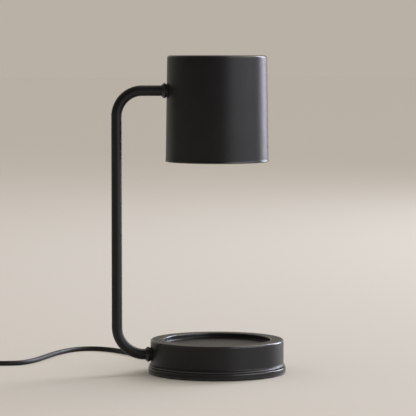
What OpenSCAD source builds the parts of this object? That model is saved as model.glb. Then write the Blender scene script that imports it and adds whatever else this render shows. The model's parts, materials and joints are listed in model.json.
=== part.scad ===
// Candle warmer lamp: a lamp head on a bent tube warms a candle that stands in the dish of its base.
// Millimetres. The origin is on the base's axis at table height. +Z is up, and the arm stands at -X.

/* [Base] */
// Diameter of the base's side wall
wall_d = 126; // [125:1:150]
// Height of the base above the table
base_h = 32; // [31:0.5:40]
// Thickness of the base shell
shell_t = 2.4; // [1.6:0.2:3]
// Radius of the side wall's top edge
rim_r = 1.6; // [0.6:0.2:2.4]
// How far the wall flares out at its foot
flare = 1.2; // [0.6:0.1:1.8]
// Diameter of the dish that the candle stands in
dish_d = 101; // [90:1:101]
// Depth of the dish
dish_depth = 5; // [4:0.5:6]
// Radius of the dish's edge
dish_edge_r = 1; // [0.4:0.2:1.4]
// Radius where the dish's wall meets its floor
dish_cove_r = 1.6; // [0.4:0.2:2]
// How far the foot ring stands out past the side wall
ring_lip = 2; // [1.6:0.2:4]
// Height of the foot ring
ring_h = 5.7; // [4.6:0.1:6.5]
// Height of the shadow line between foot ring and wall
seam_h = 0.8; // [0.4:0.1:1.2]
// Thickness of the bottom plate
plate_t = 2; // [1.8:0.1:2.4]
// Distance from the foot ring's edge to the anti-slip pad
pad_margin = 4; // [3:0.25:8]
// Thickness of the anti-slip pad
pad_t = 2; // [1.6:0.1:2.4]
// How deep the pad is let into the bottom plate
pad_inset = 1.2; // [0.6:0.1:1.4]
// Diameter of the counterweight
weight_d = 116; // [100:1:116]
// Diameter of the wiring well in the counterweight
well_d = 48; // [40:1:60]
// Number of screws that hold the bottom plate
plate_screws_n = 4; // [4]

/* [Whole lamp] */
// Height of the whole lamp
lamp_h = 300; // [290:1:340]

/* [Arm] */
// Outer diameter of the bent tube
tube_d = 10; // [10:0.5:11]
// Wall of the bent tube
tube_wall = 1; // [0.8:0.1:1.2]
// Distance from the base's axis to the upright
reach = 95; // [92:1:130]
// Distance from the base's top down to the tube's axis
arm_drop = 13.5; // [12:0.5:14]
// Distance from the shade's top down to the tube's axis
arm_top_drop = 33; // [32:0.5:38]
// Length of straight tube between the lower collar and the lower bend
low_straight = 0.4; // [0.2:0.1:8]
// Radius of the upper bend, at the tube's centre
bend_top_r = 24; // [18:0.5:30]
// Diameter of the collars on the tube's ends
collar_d = 14.4; // [13.6:0.2:16]
// Thickness of the collars' flange
collar_t = 2.4; // [1.8:0.2:3]
// Thickness of the saddle washers between a collar and a round wall
saddle_t = 1.3; // [1:0.1:2]
// Width across flats of the tube's nuts
nut_af = 14; // [13.5:0.5:15]
// Thickness of the tube's nuts
nut_t = 5; // [3:0.5:5.5]

/* [Head] */
// Diameter of the shade at its lower rim
shade_d = 97; // [94:1:110]
// How much narrower the shade is at its top
shade_taper = 3; // [0:0.5:4]
// Height of the shade
shade_h = 100; // [90:1:112]
// Thickness of the shade's sheet metal
shade_t = 1.2; // [0.8:0.1:1.6]
// Radius of the shade's top edge
shade_edge_r = 2; // [1:0.25:3]
// Height of the folded hem at the shade's lower rim
hem_h = 2.6; // [2:0.2:4]
// How far the head tilts each way, in degrees
tilt_max = 40; // [20:5:50]
// Thickness of the lampholder's bracket
bracket_t = 1.5; // [1.2:0.1:1.8]
// Width of the lampholder's bracket
bracket_w = 16; // [14:1:18]
// Diameter of the lampholder
holder_d = 30; // [29:1:34]
// Height of the lampholder
holder_h = 17; // [15.5:0.5:18]
// Height of the lampholder's lower face above the tube's axis
seat_rise = 3; // [2:0.5:4]
// Diameter of the bulb's face
bulb_d = 50; // [44:1:54]
// Length of the bulb below the lampholder
bulb_l = 54; // [48:1:58]
// How far the bulb turns to lock, in degrees
lock_turn = 25; // [15:5:30]

/* [Cord] */
// Diameter of the mains cord
cord_d = 4.6; // [4.6]
// Direction in which the cord leaves the base, in degrees from +X
gland_turn = 115; // [115]
// Height at which the cord leaves the base
gland_z = 15; // [15]
// Length of the cord gland's tapered tail
gland_tail = 22; // [22]
// Gap between neighbouring turns of the coil
coil_gap = 0.6; // [0.6]
// Radius of the coil's innermost turn
coil_r = 18; // [18]

/* [Dimmer] */
// Length of the dimmer's case
case_l = 64; // [64:1:68]
// Width of the dimmer's case
case_w = 26; // [26:1:30]
// Height of the dimmer's case
case_h = 16; // [16:0.5:18]
// Wall of the dimmer's case
case_t = 1.6; // [1.2:0.1:2]
// Diameter of the thumb wheel
wheel_d = 24; // [22:0.5:26]
// Thickness of the thumb wheel
wheel_t = 4; // [3:0.25:4]
// How far the thumb wheel stands out of the case
wheel_out = 3; // [2:0.25:4]

/* [Plug] */
// Width of the plug
plug_w = 35; // [33:0.5:37]
// Thickness of the plug
plug_t = 13.6; // [13.6]
// Length of the plug's body
plug_l = 32; // [28:1:34]
// Diameter of the plug's pins
pin_d = 4; // [4]
// Length of the plug's pins
pin_l = 19; // [19]
// Distance between the plug's pins
pin_gap = 18.6; // [17.5:0.1:19]

/* [Hidden] */
$fn = 96;

fit = 0.1; // clearance of parts that slide together, on each side
thread_fit = 0.02; // clearance between a plain shank and its tapped hole, on each side
cut = 0.01; // how far a cutting shape reaches past the face that it starts from
coat = [0.11, 0.11, 0.11];
black_plastic = [0.07, 0.07, 0.07];
steel = [0.62, 0.62, 0.63];
brass = [0.78, 0.62, 0.3];
ceramic = [0.9, 0.89, 0.85];

// Base heights and radii
foot_gap = pad_t - pad_inset;
floor_z = pad_t + plate_t;
ring_z = foot_gap + ring_h;
lip_z = ring_z + seam_h;
wall_r = wall_d / 2;
ring_r = wall_r + ring_lip;
pad_r = ring_r - pad_margin;
inner_r = wall_r - shell_t;
skirt_r = wall_r - 1;
dish_r = dish_d / 2;
dish_z = base_h - dish_depth;
lip_h = 0.6;
flare_r = 3;
boss_r = 4;
boss_gap = 0.4;
boss_at = inner_r - boss_r - boss_gap;
boss_turn = 45;
screw_r = 1.7;
screw_head_r = 3.3;
screw_l = 14;
weight_screw_at = 40;

// Arm
tube_r = tube_d / 2;
arm_low_z = base_h - arm_drop;
arm_top_z = lamp_h - arm_top_drop;
collar_r = collar_d / 2;
cone_l = 1.4;
saddle_r = collar_r - 0.9;
low_flange_x = -wall_r - saddle_t;
bend_low_r = reach + low_flange_x - collar_t - cone_l - low_straight;
nut_corner_r = nut_af / 2 / cos(30);
nut_room = 0.4;
cord_room = 2.5;
weight_t = min(arm_low_z - nut_corner_r - nut_room, gland_z - cord_d / 2 - cord_room) - floor_z;
washer_r = 9;
washer_t = 1;
low_washer_x = -sqrt(inner_r * inner_r - washer_r * washer_r) + fit;
low_nut_x = low_washer_x + washer_t;
tube_proud = 1;
low_end_x = low_nut_x + nut_t + tube_proud;

// Shade and the stack of pieces on the tube's upper end, from outside in
shade_top = lamp_h;
shade_z = shade_top - shade_h;
shade_r = shade_d / 2;
shade_top_r = shade_r - shade_taper / 2;
function shade_r_at(z) = shade_r + (shade_top_r - shade_r) * (z - shade_z) / shade_h;
hem_t = shade_t * 1.7;
wall_x = -shade_r_at(arm_top_z);
up_flange_x = wall_x - saddle_t;
lobe_r = 11;
bush_r = tube_r + 1;
bracket_x = -sqrt(pow(shade_r_at(arm_top_z + lobe_r) - shade_t, 2) - lobe_r * lobe_r) + fit;
bracket_in_x = bracket_x + bracket_t;
friction_r = 8;
friction_t = 1;
stop_x = bracket_in_x + fit + friction_t + fit;
stop_t = 1.2;
tab_in_r = 8.9;
tab_out_r = 10.6;
tab_half = 9;
tab_l = 2.2;
spring_t = 0.9;
spring_x = stop_x + stop_t;
up_nut_x = spring_x + spring_t;
up_end_x = up_nut_x + nut_t + tube_proud;
key_w = 2;

// Lampholder and bulb
seat_z = arm_top_z + seat_rise;
holder_top = seat_z + holder_h;
pin_at = 5;
head_r = 2.5;
stem_r = 1.5;
stem_l = 3.6;
stem_root = 6;
head_l = 3;
slot_play = 0.3;
holder_screw_at = 11;
holder_screw_r = 1.5;
holder_screw_l = 8;
lead_z = holder_top - 6;
lead_y = 4;
bulb_play = 0.2;
bulb_face_z = seat_z - bulb_l;
bulb_base_r = 9.5;
bulb_base_l = 14;
lens_t = 2.2;
glass_t = 1.2;

// Wires
wire_r = 0.95;
wire_y = 1.3;
block_l = 17;
block_w = 16;
block_h = 12;
block_pole = 4;
core_x = 11;
core_y = 22;
core_gap = 3;
core_lead = 8;
core_end = 1;
pole_z = floor_z + 6;

// Gland, in the direction of gland_turn
gland_flange_r = 5;
gland_flange_t = 1.8;
gland_neck_r = 3.8;
gland_in_t = 2;
gland_in_x = sqrt(inner_r * inner_r - gland_flange_r * gland_flange_r);
gland_tip_x = wall_r + gland_flange_t + gland_tail;
cord_r = cord_d / 2;
jacket_end_x = 42;

// The put-away end of the cord has its own frame: +X runs along the dimmer, away from the lamp.
away_at = [-228, 83, 0];
away_turn = 173;
boot_l = 20;
boot_r = 3.9;
boot_neck_r = boot_r - 1;
cord_z = case_h / 2;
case_x = boot_l;
boot_out_x = case_x + case_l + boot_l;
wheel_x = case_x + case_l / 2;
wheel_y = case_w / 2 + wheel_out - wheel_d / 2;
wheel_z = cord_z + 1.8;
post_r = 3;
board_t = 1.6;
board_z = case_t + 1.6;
tie_t = 0.6;
coil_pitch = cord_d + coil_gap;
coil_low_z = cord_r + tie_t + 0.1;
coil_high_z = coil_low_z + coil_pitch;
coil_turns = 7.5;
coil_sweep = 360 * coil_turns;
coil_ease = 30; // degrees on each side of the middle in which the spiral turns back
function coil_r_at(from_middle) = coil_r
    + coil_pitch * (sqrt(from_middle * from_middle + coil_ease * coil_ease) - coil_ease) / 360;
coil_out_r = coil_r_at(coil_sweep / 2);
coil_x = 138;
coil_y = coil_out_r;
plug_x = 9;
plug_y = 2 * coil_out_r;
plug_z = plug_t / 2;
plug_boot_l = 22;
plug_back_x = plug_x + pin_l + plug_l;

function along(turn, r, z) = [r * cos(turn), r * sin(turn), z];
function arc(x, z, r, from, to, n = 6) =
    [for (i = [0 : n]) let (a = from + (to - from) * i / n) [x + r * cos(a), z + r * sin(a)]];
function unit(v) = v / norm(v);

// A smooth curve through points, with n steps from one to the next.
function spline(p, n) = [for (i = [0 : len(p) - 2], k = [0 : n - 1])
        let (a = p[max(i - 1, 0)], b = p[i], c = p[i + 1], d = p[min(i + 2, len(p) - 1)], t = k / n)
        0.5 * (2 * b + (c - a) * t + (2 * a - 5 * b + 4 * c - d) * t * t
            + (3 * b - a - 3 * c + d) * t * t * t),
    p[len(p) - 1]];

// A round tube swept along points. up is never parallel to the path.
module sweep(path, r, sides, up = [0, 0, 1], start = undef, end = undef) {
    last = len(path) - 1;
    way = [for (i = [0 : last])
        i == 0 && !is_undef(start) ? start : i == last && !is_undef(end) ? end
        : unit(path[min(i + 1, last)] - path[max(i - 1, 0)])];
    rings = [for (i = [0 : last])
        let (side = unit(cross(up, way[i])), top = cross(way[i], side))
        for (k = [0 : sides - 1])
            let (a = 360 * (k + 0.5) / sides) path[i] + r * (cos(a) * side + sin(a) * top)];
    polyhedron(points = rings, convexity = 10, faces = concat(
        [[for (k = [0 : sides - 1]) k]],
        [for (i = [0 : last - 1], k = [0 : sides - 1])
            let (a = i * sides, b = a + sides, m = (k + 1) % sides)
            each [[a + k, b + k, a + m], [a + m, b + k, b + m]]],
        [[for (k = [0 : sides - 1]) last * sides + sides - 1 - k]]));
}

module ring(r_out, r_in, h) {
    difference() {
        cylinder(r = r_out, h = h);
        translate([0, 0, -1]) cylinder(r = r_in, h = h + 2);
    }
}

// Turns a shape that stands on Z so that its +Z runs along +X, on the tube's axis at height z.
module on_tube(x, z) {
    translate([x, 0, z]) rotate([0, 90, 0]) children();
}

module in_gland_direction(x) {
    rotate([0, 0, gland_turn]) translate([x, 0, gland_z]) rotate([0, 90, 0]) children();
}

module put_away() {
    translate(away_at) rotate([0, 0, away_turn]) children();
}

// Places its child at each of the bosses, r mm from the axis.
module at_bosses(r) {
    for (i = [0 : plate_screws_n - 1])
        rotate([0, 0, boss_turn + 360 * i / plate_screws_n]) translate([r, 0, 0]) children();
}

module at_weight_screws() {
    for (side = [-1, 1]) translate([side * weight_screw_at, 0, 0]) children();
}

// Countersunk screw, head down, its face at z = 0
module countersunk_screw(l) {
    cylinder(r1 = screw_head_r, r2 = screw_r, h = screw_head_r - screw_r);
    cylinder(r = screw_r, h = l);
}

module countersunk_hole() {
    head_h = screw_head_r - screw_r + cut;
    translate([0, 0, -cut]) cylinder(r1 = screw_head_r + fit, r2 = screw_r + fit, h = head_h);
    cylinder(r = screw_r + fit, h = plate_t + 1);
}

// Pilot hole for a screw's plain shank, from 1 mm below z = 0
module pilot_hole(r, l) {
    translate([0, 0, -1]) cylinder(r = r + thread_fit, h = l + 1);
}

module hex_nut(af, t, bore_r) {
    difference() {
        intersection() {
            cylinder(r = af / 2 / cos(30), h = t, $fn = 6);
            // Both faces are chamfered by turning the corners off
            rotate_extrude() polygon([[0, 0], [af / 2, 0], [af / 2 + 1, 0.6], [af / 2 + 1, t - 0.6],
                [af / 2, t], [0, t]]);
        }
        translate([0, 0, -1]) cylinder(r = bore_r, h = t + 2);
    }
}

// ---- Base ----

module base_shell() {
    flare_angle = acos(1 - flare / flare_r);
    flare_top = lip_z + lip_h + flare_r * sin(flare_angle);
    color(coat) difference() {
        union() {
            rotate_extrude($fn = 180) polygon(concat(
                [[inner_r, floor_z], [skirt_r, floor_z], [skirt_r, lip_z], [wall_r + flare, lip_z]],
                arc(wall_r + flare_r, flare_top, flare_r, 180 + flare_angle, 180),
                arc(wall_r - rim_r, base_h - rim_r, rim_r, 0, 90, 8),
                arc(dish_r + dish_edge_r, base_h - dish_edge_r, dish_edge_r, 90, 180),
                arc(dish_r - dish_cove_r, dish_z + dish_cove_r, dish_cove_r, 0, -90),
                [[0, dish_z], [0, dish_z - shell_t], [dish_r + shell_t, dish_z - shell_t],
                    [dish_r + shell_t, base_h - shell_t], [inner_r, base_h - shell_t]]));
            at_bosses(boss_at) translate([0, 0, floor_z])
                cylinder(r = boss_r, h = base_h - shell_t / 2 - floor_z);
        }
        at_bosses(boss_at) translate([0, 0, floor_z]) pilot_hole(screw_r, screw_l);
        on_tube(-wall_r - 2, arm_low_z) cylinder(r = tube_r + fit, h = shell_t + 4);
        in_gland_direction(inner_r - 2) cylinder(r = gland_neck_r + fit, h = shell_t + 4);
    }
}

module bottom_plate() {
    bottom_r = 1.5;
    top_r = 0.9;
    color(coat) difference() {
        rotate_extrude($fn = 180) polygon(concat(
            [[0, pad_t], [pad_r + fit, pad_t], [pad_r + fit, foot_gap]],
            arc(ring_r - bottom_r, foot_gap + bottom_r, bottom_r, -90, 0),
            arc(ring_r - top_r, ring_z - top_r, top_r, 0, 90),
            [[skirt_r + fit, ring_z], [skirt_r + fit, floor_z], [0, floor_z]]));
        at_bosses(boss_at) translate([0, 0, pad_t]) countersunk_hole();
        at_weight_screws() translate([0, 0, pad_t]) countersunk_hole();
    }
}

module foot_pad() {
    color(black_plastic) cylinder(r = pad_r, h = pad_t, $fn = 180);
}

module counterweight() {
    color([0.25, 0.25, 0.25]) difference() {
        translate([0, 0, floor_z]) ring(weight_d / 2, well_d / 2, weight_t);
        at_bosses(boss_at) translate([0, 0, floor_z - 1]) cylinder(r = boss_r + 0.5, h = weight_t + 2);
        at_weight_screws() translate([0, 0, floor_z]) pilot_hole(screw_r, weight_t + 1);
    }
}

module plate_screws() {
    color(steel) at_bosses(boss_at) translate([0, 0, pad_t]) countersunk_screw(plate_t + screw_l - 1);
}

module weight_screws() {
    color(steel) at_weight_screws() translate([0, 0, pad_t]) countersunk_screw(plate_t + weight_t - 1);
}

module at_poles() {
    for (side = [-1, 1]) translate([0, side * block_pole, 0]) children();
}

module at_pole_screws() {
    at_poles() for (end = [-1, 1]) translate([end * block_l / 4, 0, pole_z]) children();
}

insert_r = 2.4;
insert_bore_r = 1.5;
insert_inset = 1.5;
pole_screw_r = 1.2;

module terminal_block() {
    color([0.85, 0.85, 0.82]) difference() {
        translate([-block_l / 2, -block_w / 2, floor_z]) cube([block_l, block_w, block_h]);
        at_poles() translate([-block_l / 2 - 1, 0, pole_z]) rotate([0, 90, 0])
            cylinder(r = insert_r + fit, h = block_l + 2);
        at_pole_screws() cylinder(r = pole_screw_r + 0.4, h = block_h);
    }
}

module terminal_inserts() {
    color(brass) difference() {
        at_poles() translate([-block_l / 2 + insert_inset, 0, pole_z]) rotate([0, 90, 0])
            ring(insert_r, insert_bore_r, block_l - 2 * insert_inset);
        at_pole_screws() cylinder(r = pole_screw_r + thread_fit, h = block_h);
    }
}

module terminal_screws() {
    color(steel) at_pole_screws() translate([0, 0, wire_r + fit]) cylinder(r = pole_screw_r, h = 4);
}

// ---- Cord entry ----

module cord_gland() {
    tail_r = 3.7;
    tip_r = cord_r + 0.6;
    groove = 0.5;
    edge = 0.6;
    ribs = 5;
    rib_l = (gland_tail - 4) / ribs;
    // The tail narrows steadily and has open grooves so that it bends.
    function tail_at(x) = tail_r + (tip_r - tail_r) * x / gland_tail;
    function on_tail(x, deep) = [tail_at(x) - deep, wall_r + gland_flange_t + x];
    tail = [for (i = [0 : ribs - 1]) let (x = 1 + i * rib_l)
        each [on_tail(x, 0), on_tail(x + rib_l * 0.6, 0),
            on_tail(x + rib_l * 0.65, groove), on_tail(x + rib_l * 0.95, groove)]];
    back_x = gland_in_x - gland_in_t;
    front_x = wall_r + gland_flange_t;
    color(black_plastic) rotate([0, 0, gland_turn]) translate([0, 0, gland_z]) rotate([0, 90, 0])
        rotate_extrude() polygon(concat(
            [[cord_r + thread_fit, back_x], [gland_flange_r - edge, back_x], [gland_flange_r, back_x + edge],
                [gland_flange_r, gland_in_x], [gland_neck_r, gland_in_x], [gland_neck_r, wall_r],
                [gland_flange_r, wall_r], [gland_flange_r, front_x - edge], [gland_flange_r - edge, front_x],
                [tail_r, front_x]],
            tail,
            [[tip_r, gland_tip_x - edge / 2], [tip_r - edge / 2, gland_tip_x],
                [cord_r + thread_fit, gland_tip_x]]));
}

module cord_inside() {
    color(black_plastic) in_gland_direction(jacket_end_x)
        cylinder(r = cord_r, h = gland_tip_x - jacket_end_x);
}

// The two cores leave the cord's jacket and run down into the far ends of the terminal block.
module mains_cores() {
    exit = along(gland_turn, jacket_end_x, gland_z);
    way = along(gland_turn, 1, 0);
    across = along(gland_turn + 90, wire_y, 0);
    for (side = [-1, 1]) color(side > 0 ? "sienna" : "royalblue") sweep(spline([
            exit + side * across, exit + side * across - core_lead * way,
            [core_x - side * core_gap, core_y - side * core_gap, gland_z],
            [2 * core_x - side * core_gap, core_y / 3 + side * core_gap, gland_z],
            [block_l - side * core_end, side * block_pole, pole_z + core_end],
            [block_l / 2 + core_gap, side * block_pole, pole_z],
            [block_l / 2 - core_end, side * block_pole, pole_z]], 3),
        wire_r, 6, start = -way, end = [-1, 0, 0]);
}

// ---- Arm ----

// The tube's run as solid rod of radius r: lower stub, bend, upright, bend and upper stub.
module arm_rod(r, from_x, to_x) {
    low_bend_x = -reach + bend_low_r;
    top_bend_x = -reach + bend_top_r;
    on_tube(low_bend_x, arm_low_z) cylinder(r = r, h = from_x - low_bend_x);
    translate([low_bend_x, 0, arm_low_z + bend_low_r]) rotate([90, 0, 0]) rotate([0, 0, 180])
        rotate_extrude(angle = 90) translate([bend_low_r, 0]) circle(r = r);
    translate([-reach, 0, arm_low_z + bend_low_r])
        cylinder(r = r, h = arm_top_z - arm_low_z - bend_low_r - bend_top_r);
    translate([top_bend_x, 0, arm_top_z - bend_top_r]) rotate([90, 0, 0]) rotate([0, 0, 90])
        rotate_extrude(angle = 90) translate([bend_top_r, 0]) circle(r = r);
    on_tube(top_bend_x, arm_top_z) cylinder(r = r, h = to_x - top_bend_x);
}

module arm_tube() {
    color(coat) difference() {
        arm_rod(tube_r, low_end_x, up_end_x);
        arm_rod(tube_r - tube_wall, low_end_x + 1, up_end_x + 1);
        // Keyway for the stop washer
        translate([stop_x - 0.5, -key_w / 2 - fit, arm_top_z])
            cube([up_end_x - stop_x + 2, key_w + 2 * fit, tube_r + 1]);
    }
}

// Flange nut with a short cone, its flange's flat face at z = 0 and the cone below
module collar() {
    edge_r = 0.7;
    cone_t = 1.1;
    color(coat) rotate_extrude() polygon(concat(
        [[tube_r + thread_fit, 0]],
        arc(collar_r - edge_r, -edge_r, edge_r, 90, 0, 4),
        arc(collar_r - edge_r, edge_r - collar_t, edge_r, 0, -90, 4),
        [[tube_r + cone_t, -collar_t], [tube_r + cone_t / 2, -collar_t - cone_l],
            [tube_r + thread_fit, -collar_t - cone_l]]));
}

module lower_collar() {
    on_tube(low_flange_x, arm_low_z) collar();
}

module lower_saddle() {
    color(black_plastic) difference() {
        on_tube(low_flange_x, arm_low_z) ring(saddle_r, tube_r + thread_fit, saddle_t + 1);
        translate([0, 0, arm_low_z - collar_d]) cylinder(r = wall_r, h = 2 * collar_d, $fn = 180);
    }
}

module lower_lock_washer() {
    color(steel) on_tube(low_washer_x, arm_low_z) ring(washer_r, tube_r + thread_fit, washer_t);
}

module lower_nut() {
    color(steel) on_tube(low_nut_x, arm_low_z) hex_nut(nut_af, nut_t, tube_r + thread_fit);
}

module upper_collar() {
    on_tube(up_flange_x, arm_top_z) collar();
}

// Fixed to the tube by its tongue. Its bent tab runs in the notch of the bracket and ends the tilt.
module stop_washer() {
    color(steel) {
        on_tube(stop_x, arm_top_z) ring(lobe_r, tube_r + thread_fit, stop_t);
        translate([stop_x, -key_w / 2, arm_top_z + tube_r - tube_wall])
            cube([stop_t, key_w, tube_wall + 0.5]);
        on_tube(stop_x - tab_l, arm_top_z) rotate([0, 0, -tab_half]) rotate_extrude(angle = 2 * tab_half)
            translate([tab_in_r, 0]) square([tab_out_r - tab_in_r, tab_l + 0.1]);
    }
}

module spring_washer() {
    color(steel) on_tube(spring_x, arm_top_z) difference() {
        ring(8, tube_r + thread_fit, spring_t);
        // The split
        rotate([0, 0, 40]) translate([0, -0.6, -1]) cube([12, 1.2, spring_t + 2]);
    }
}

module upper_nut() {
    color(steel) on_tube(up_nut_x, arm_top_z) hex_nut(nut_af, nut_t, tube_r + thread_fit);
}

// One conductor: from the terminal block, through the whole tube, to its upper end
module arm_wire(side) {
    y = side * wire_y;
    low_bend = [-reach + bend_low_r, y, arm_low_z + bend_low_r];
    top_bend = [-reach + bend_top_r, y, arm_top_z - bend_top_r];
    sweep(concat(
        spline([[-7.5, side * block_pole, pole_z], [-13, side * block_pole, pole_z],
            [-20, side * 3.4, pole_z + 2.5], [-32, side * 2, arm_low_z - 1.5],
            [-44, y, arm_low_z], [-52, y, arm_low_z]], 3),
        [for (a = [0 : 10 : 90]) low_bend - bend_low_r * [sin(a), 0, cos(a)]],
        [for (a = [0 : 10 : 90]) top_bend + bend_top_r * [-cos(a), 0, sin(a)]],
        [[up_end_x - 0.5, y, arm_top_z]]), wire_r, 6, up = [0, 1, 0], start = [-1, 0, 0], end = [1, 0, 0]);
}

module live_wire() {
    color("sienna") arm_wire(1);
}

module neutral_wire() {
    color("royalblue") arm_wire(-1);
}

// ---- Head ----

module shade() {
    corner_r = 0.7;
    inside_r = 0.8;
    color(coat) difference() {
        rotate_extrude($fn = 180) polygon(concat(
            arc(shade_r - hem_t + corner_r, shade_z + corner_r, corner_r, 180, 270, 4),
            arc(shade_r - corner_r, shade_z + corner_r, corner_r, 270, 360, 4),
            arc(shade_top_r - shade_edge_r, shade_top - shade_edge_r, shade_edge_r, 0, 90, 8),
            [[0, shade_top], [0, shade_top - shade_t]],
            arc(shade_top_r - shade_t - inside_r, shade_top - shade_t - inside_r, inside_r, 90, 0, 4),
            [[shade_r_at(shade_z + hem_h) - shade_t, shade_z + hem_h],
                [shade_r - hem_t, shade_z + hem_h - 0.6]]));
        on_tube(wall_x - 2, arm_top_z) cylinder(r = bush_r + fit, h = shade_t + 4);
    }
}

// Stepped bush: a saddle outside the shade and a sleeve through shade and bracket, turning on the tube
module pivot_bush() {
    bush_l = bracket_in_x - up_flange_x;
    color(black_plastic) difference() {
        union() {
            difference() {
                on_tube(up_flange_x + fit, arm_top_z) cylinder(r = saddle_r, h = saddle_t + 1);
                translate([0, 0, shade_z]) cylinder(r1 = shade_r, r2 = shade_top_r, h = shade_h, $fn = 180);
            }
            on_tube(up_flange_x + fit, arm_top_z) cylinder(r = bush_r, h = bush_l - fit);
        }
        on_tube(up_flange_x - 1, arm_top_z) cylinder(r = tube_r + fit / 2, h = bush_l + 2);
    }
}

// Bent strap: a round lobe on the pivot, an upright leg and a shelf that the lampholder hangs from
module lamp_bracket() {
    notch = tilt_max + tab_half + 0.5;
    shelf_end = holder_screw_at + 4;
    color(steel) difference() {
        union() {
            on_tube(bracket_x, arm_top_z) cylinder(r = lobe_r, h = bracket_t);
            translate([bracket_x, -bracket_w / 2, arm_top_z])
                cube([bracket_t, bracket_w, holder_top - arm_top_z + bracket_t]);
            translate([bracket_x, -bracket_w / 2, holder_top])
                cube([shelf_end - bracket_x, bracket_w, bracket_t]);
        }
        on_tube(bracket_x - 1, arm_top_z) cylinder(r = bush_r + fit, h = bracket_t + 2);
        on_tube(bracket_x - 1, arm_top_z) rotate([0, 0, -notch]) rotate_extrude(angle = 2 * notch)
            translate([tab_in_r - 0.2, 0]) square([lobe_r, bracket_t + 2]);
        for (side = [-1, 1]) translate([side * holder_screw_at, 0, holder_top - 1])
            cylinder(r = screw_r, h = bracket_t + 2);
    }
}

module friction_washer() {
    color(black_plastic) on_tube(bracket_in_x + fit, arm_top_z) ring(friction_r, tube_r + fit, friction_t);
}

// Two arc-shaped slots for pins of radius r that turn between their locked and their free place
module pin_slots(r, z, h) {
    end = asin(r / pin_at);
    for (side = [0, 180]) rotate([0, 0, side - end - lock_turn]) translate([0, 0, z])
        rotate_extrude(angle = lock_turn + 2 * end) translate([pin_at - r, 0]) square([2 * r, h]);
}

contact_t = 0.8;
entry_r = head_r + 0.5;
pocket_z = seat_z + stem_l - slot_play;
contact_z = seat_z + stem_l + head_l + 0.3;

module lampholder() {
    color(ceramic) difference() {
        translate([0, 0, seat_z]) cylinder(d = holder_d, h = holder_h);
        pin_slots(stem_r + slot_play, seat_z - 1, stem_l + 1);
        pin_slots(head_r + slot_play, pocket_z, contact_z + contact_t - pocket_z);
        // Entry holes, where the pins' heads pass
        for (side = [0, 180]) rotate([0, 0, side - lock_turn]) translate([pin_at, 0, seat_z - 1])
            cylinder(r = entry_r, h = stem_l + 2);
        for (side = [-1, 1]) {
            translate([side * holder_screw_at, 0, holder_top - holder_screw_l - 1])
                cylinder(r = holder_screw_r + thread_fit, h = holder_screw_l + 2);
            translate([-holder_d / 2 - 1, side * lead_y, lead_z]) rotate([0, 90, 0])
                cylinder(r = wire_r + fit, h = 5);
        }
    }
}

module lampholder_contacts() {
    color(brass) for (side = [0, 180]) rotate([0, 0, side]) translate([0, 0, contact_z])
        translate([pin_at, 0, 0]) cylinder(r = head_r, h = contact_t);
}

module lampholder_screws() {
    color(steel) for (side = [-1, 1]) translate([side * holder_screw_at, 0, holder_top]) {
        translate([0, 0, -holder_screw_l]) cylinder(r = holder_screw_r, h = holder_screw_l + bracket_t);
        translate([0, 0, bracket_t]) cylinder(r1 = 3, r2 = 2.4, h = 1.8);
    }
}

module head_leads() {
    start = up_end_x - 0.2;
    for (side = [-1, 1]) color(side > 0 ? "sienna" : "royalblue") sweep(spline([
            [start, side * wire_y, arm_top_z], [start + 4, side * wire_y, arm_top_z + 0.5],
            [start + 8, side * 2.6, arm_top_z + 5], [start + 12, side * lead_y, lead_z - 2],
            [-holder_d / 2 - 1, side * lead_y, lead_z], [-holder_d / 2 + 3.4, side * lead_y, lead_z]], 3),
        wire_r, 6, up = [0, 1, 0], start = [1, 0, 0], end = [1, 0, 0]);
}

bulb_lip_r = bulb_d / 2;
glass_top_z = seat_z - bulb_play - bulb_base_l;
// The reflector's outline flares from the bulb's base to its lip.
function glass_r(t) = bulb_base_r - 0.6 + (bulb_lip_r - 1.5 - bulb_base_r + 0.6) * sin(90 * t);
function glass_z(t) = glass_top_z - (glass_top_z - bulb_face_z - 5) * (1 - cos(90 * t)) * 0.55
    - (glass_top_z - bulb_face_z - 5) * 0.45 * t;

module bulb_reflector() {
    steps = 12;
    color([0.8, 0.8, 0.82]) rotate_extrude($fn = 120) polygon(concat(
        [for (i = [0 : steps]) [glass_r(i / steps), glass_z(i / steps)]],
        [[bulb_lip_r, bulb_face_z + 4], [bulb_lip_r, bulb_face_z + 0.6], [bulb_lip_r - 0.6, bulb_face_z],
            [bulb_lip_r - 2, bulb_face_z], [bulb_lip_r - 2, bulb_face_z + lens_t + 0.3]],
        [for (i = [steps : -1 : 0])
            [glass_r(i / steps) - glass_t, glass_z(i / steps) - (i == steps ? 0.4 : 0)]]));
}

module bulb_lens() {
    color([0.85, 0.88, 0.9, 0.4]) translate([0, 0, bulb_face_z + 0.3])
        cylinder(r = bulb_lip_r - 2 - fit, h = lens_t, $fn = 120);
}

module bulb_base() {
    flat = 7.4;
    color(ceramic) difference() {
        translate([0, 0, glass_top_z]) intersection() {
            union() {
                cylinder(r = bulb_base_r, h = bulb_base_l);
                translate([0, 0, -4]) cylinder(r = bulb_base_r - 0.6 - glass_t - fit, h = 5);
            }
            translate([-20, -flat, -5]) cube([40, 2 * flat, bulb_base_l + 5]);
        }
        for (side = [-1, 1]) translate([side * pin_at, 0, seat_z - stem_root])
            cylinder(r = stem_r + thread_fit, h = stem_root + 1);
    }
}

module bulb_pins() {
    color(steel) for (side = [-1, 1]) translate([side * pin_at, 0, 0]) {
        translate([0, 0, seat_z - stem_root]) cylinder(r = stem_r, h = stem_root + stem_l + cut);
        translate([0, 0, seat_z + stem_l]) cylinder(r = head_r, h = head_l);
    }
}

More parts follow.
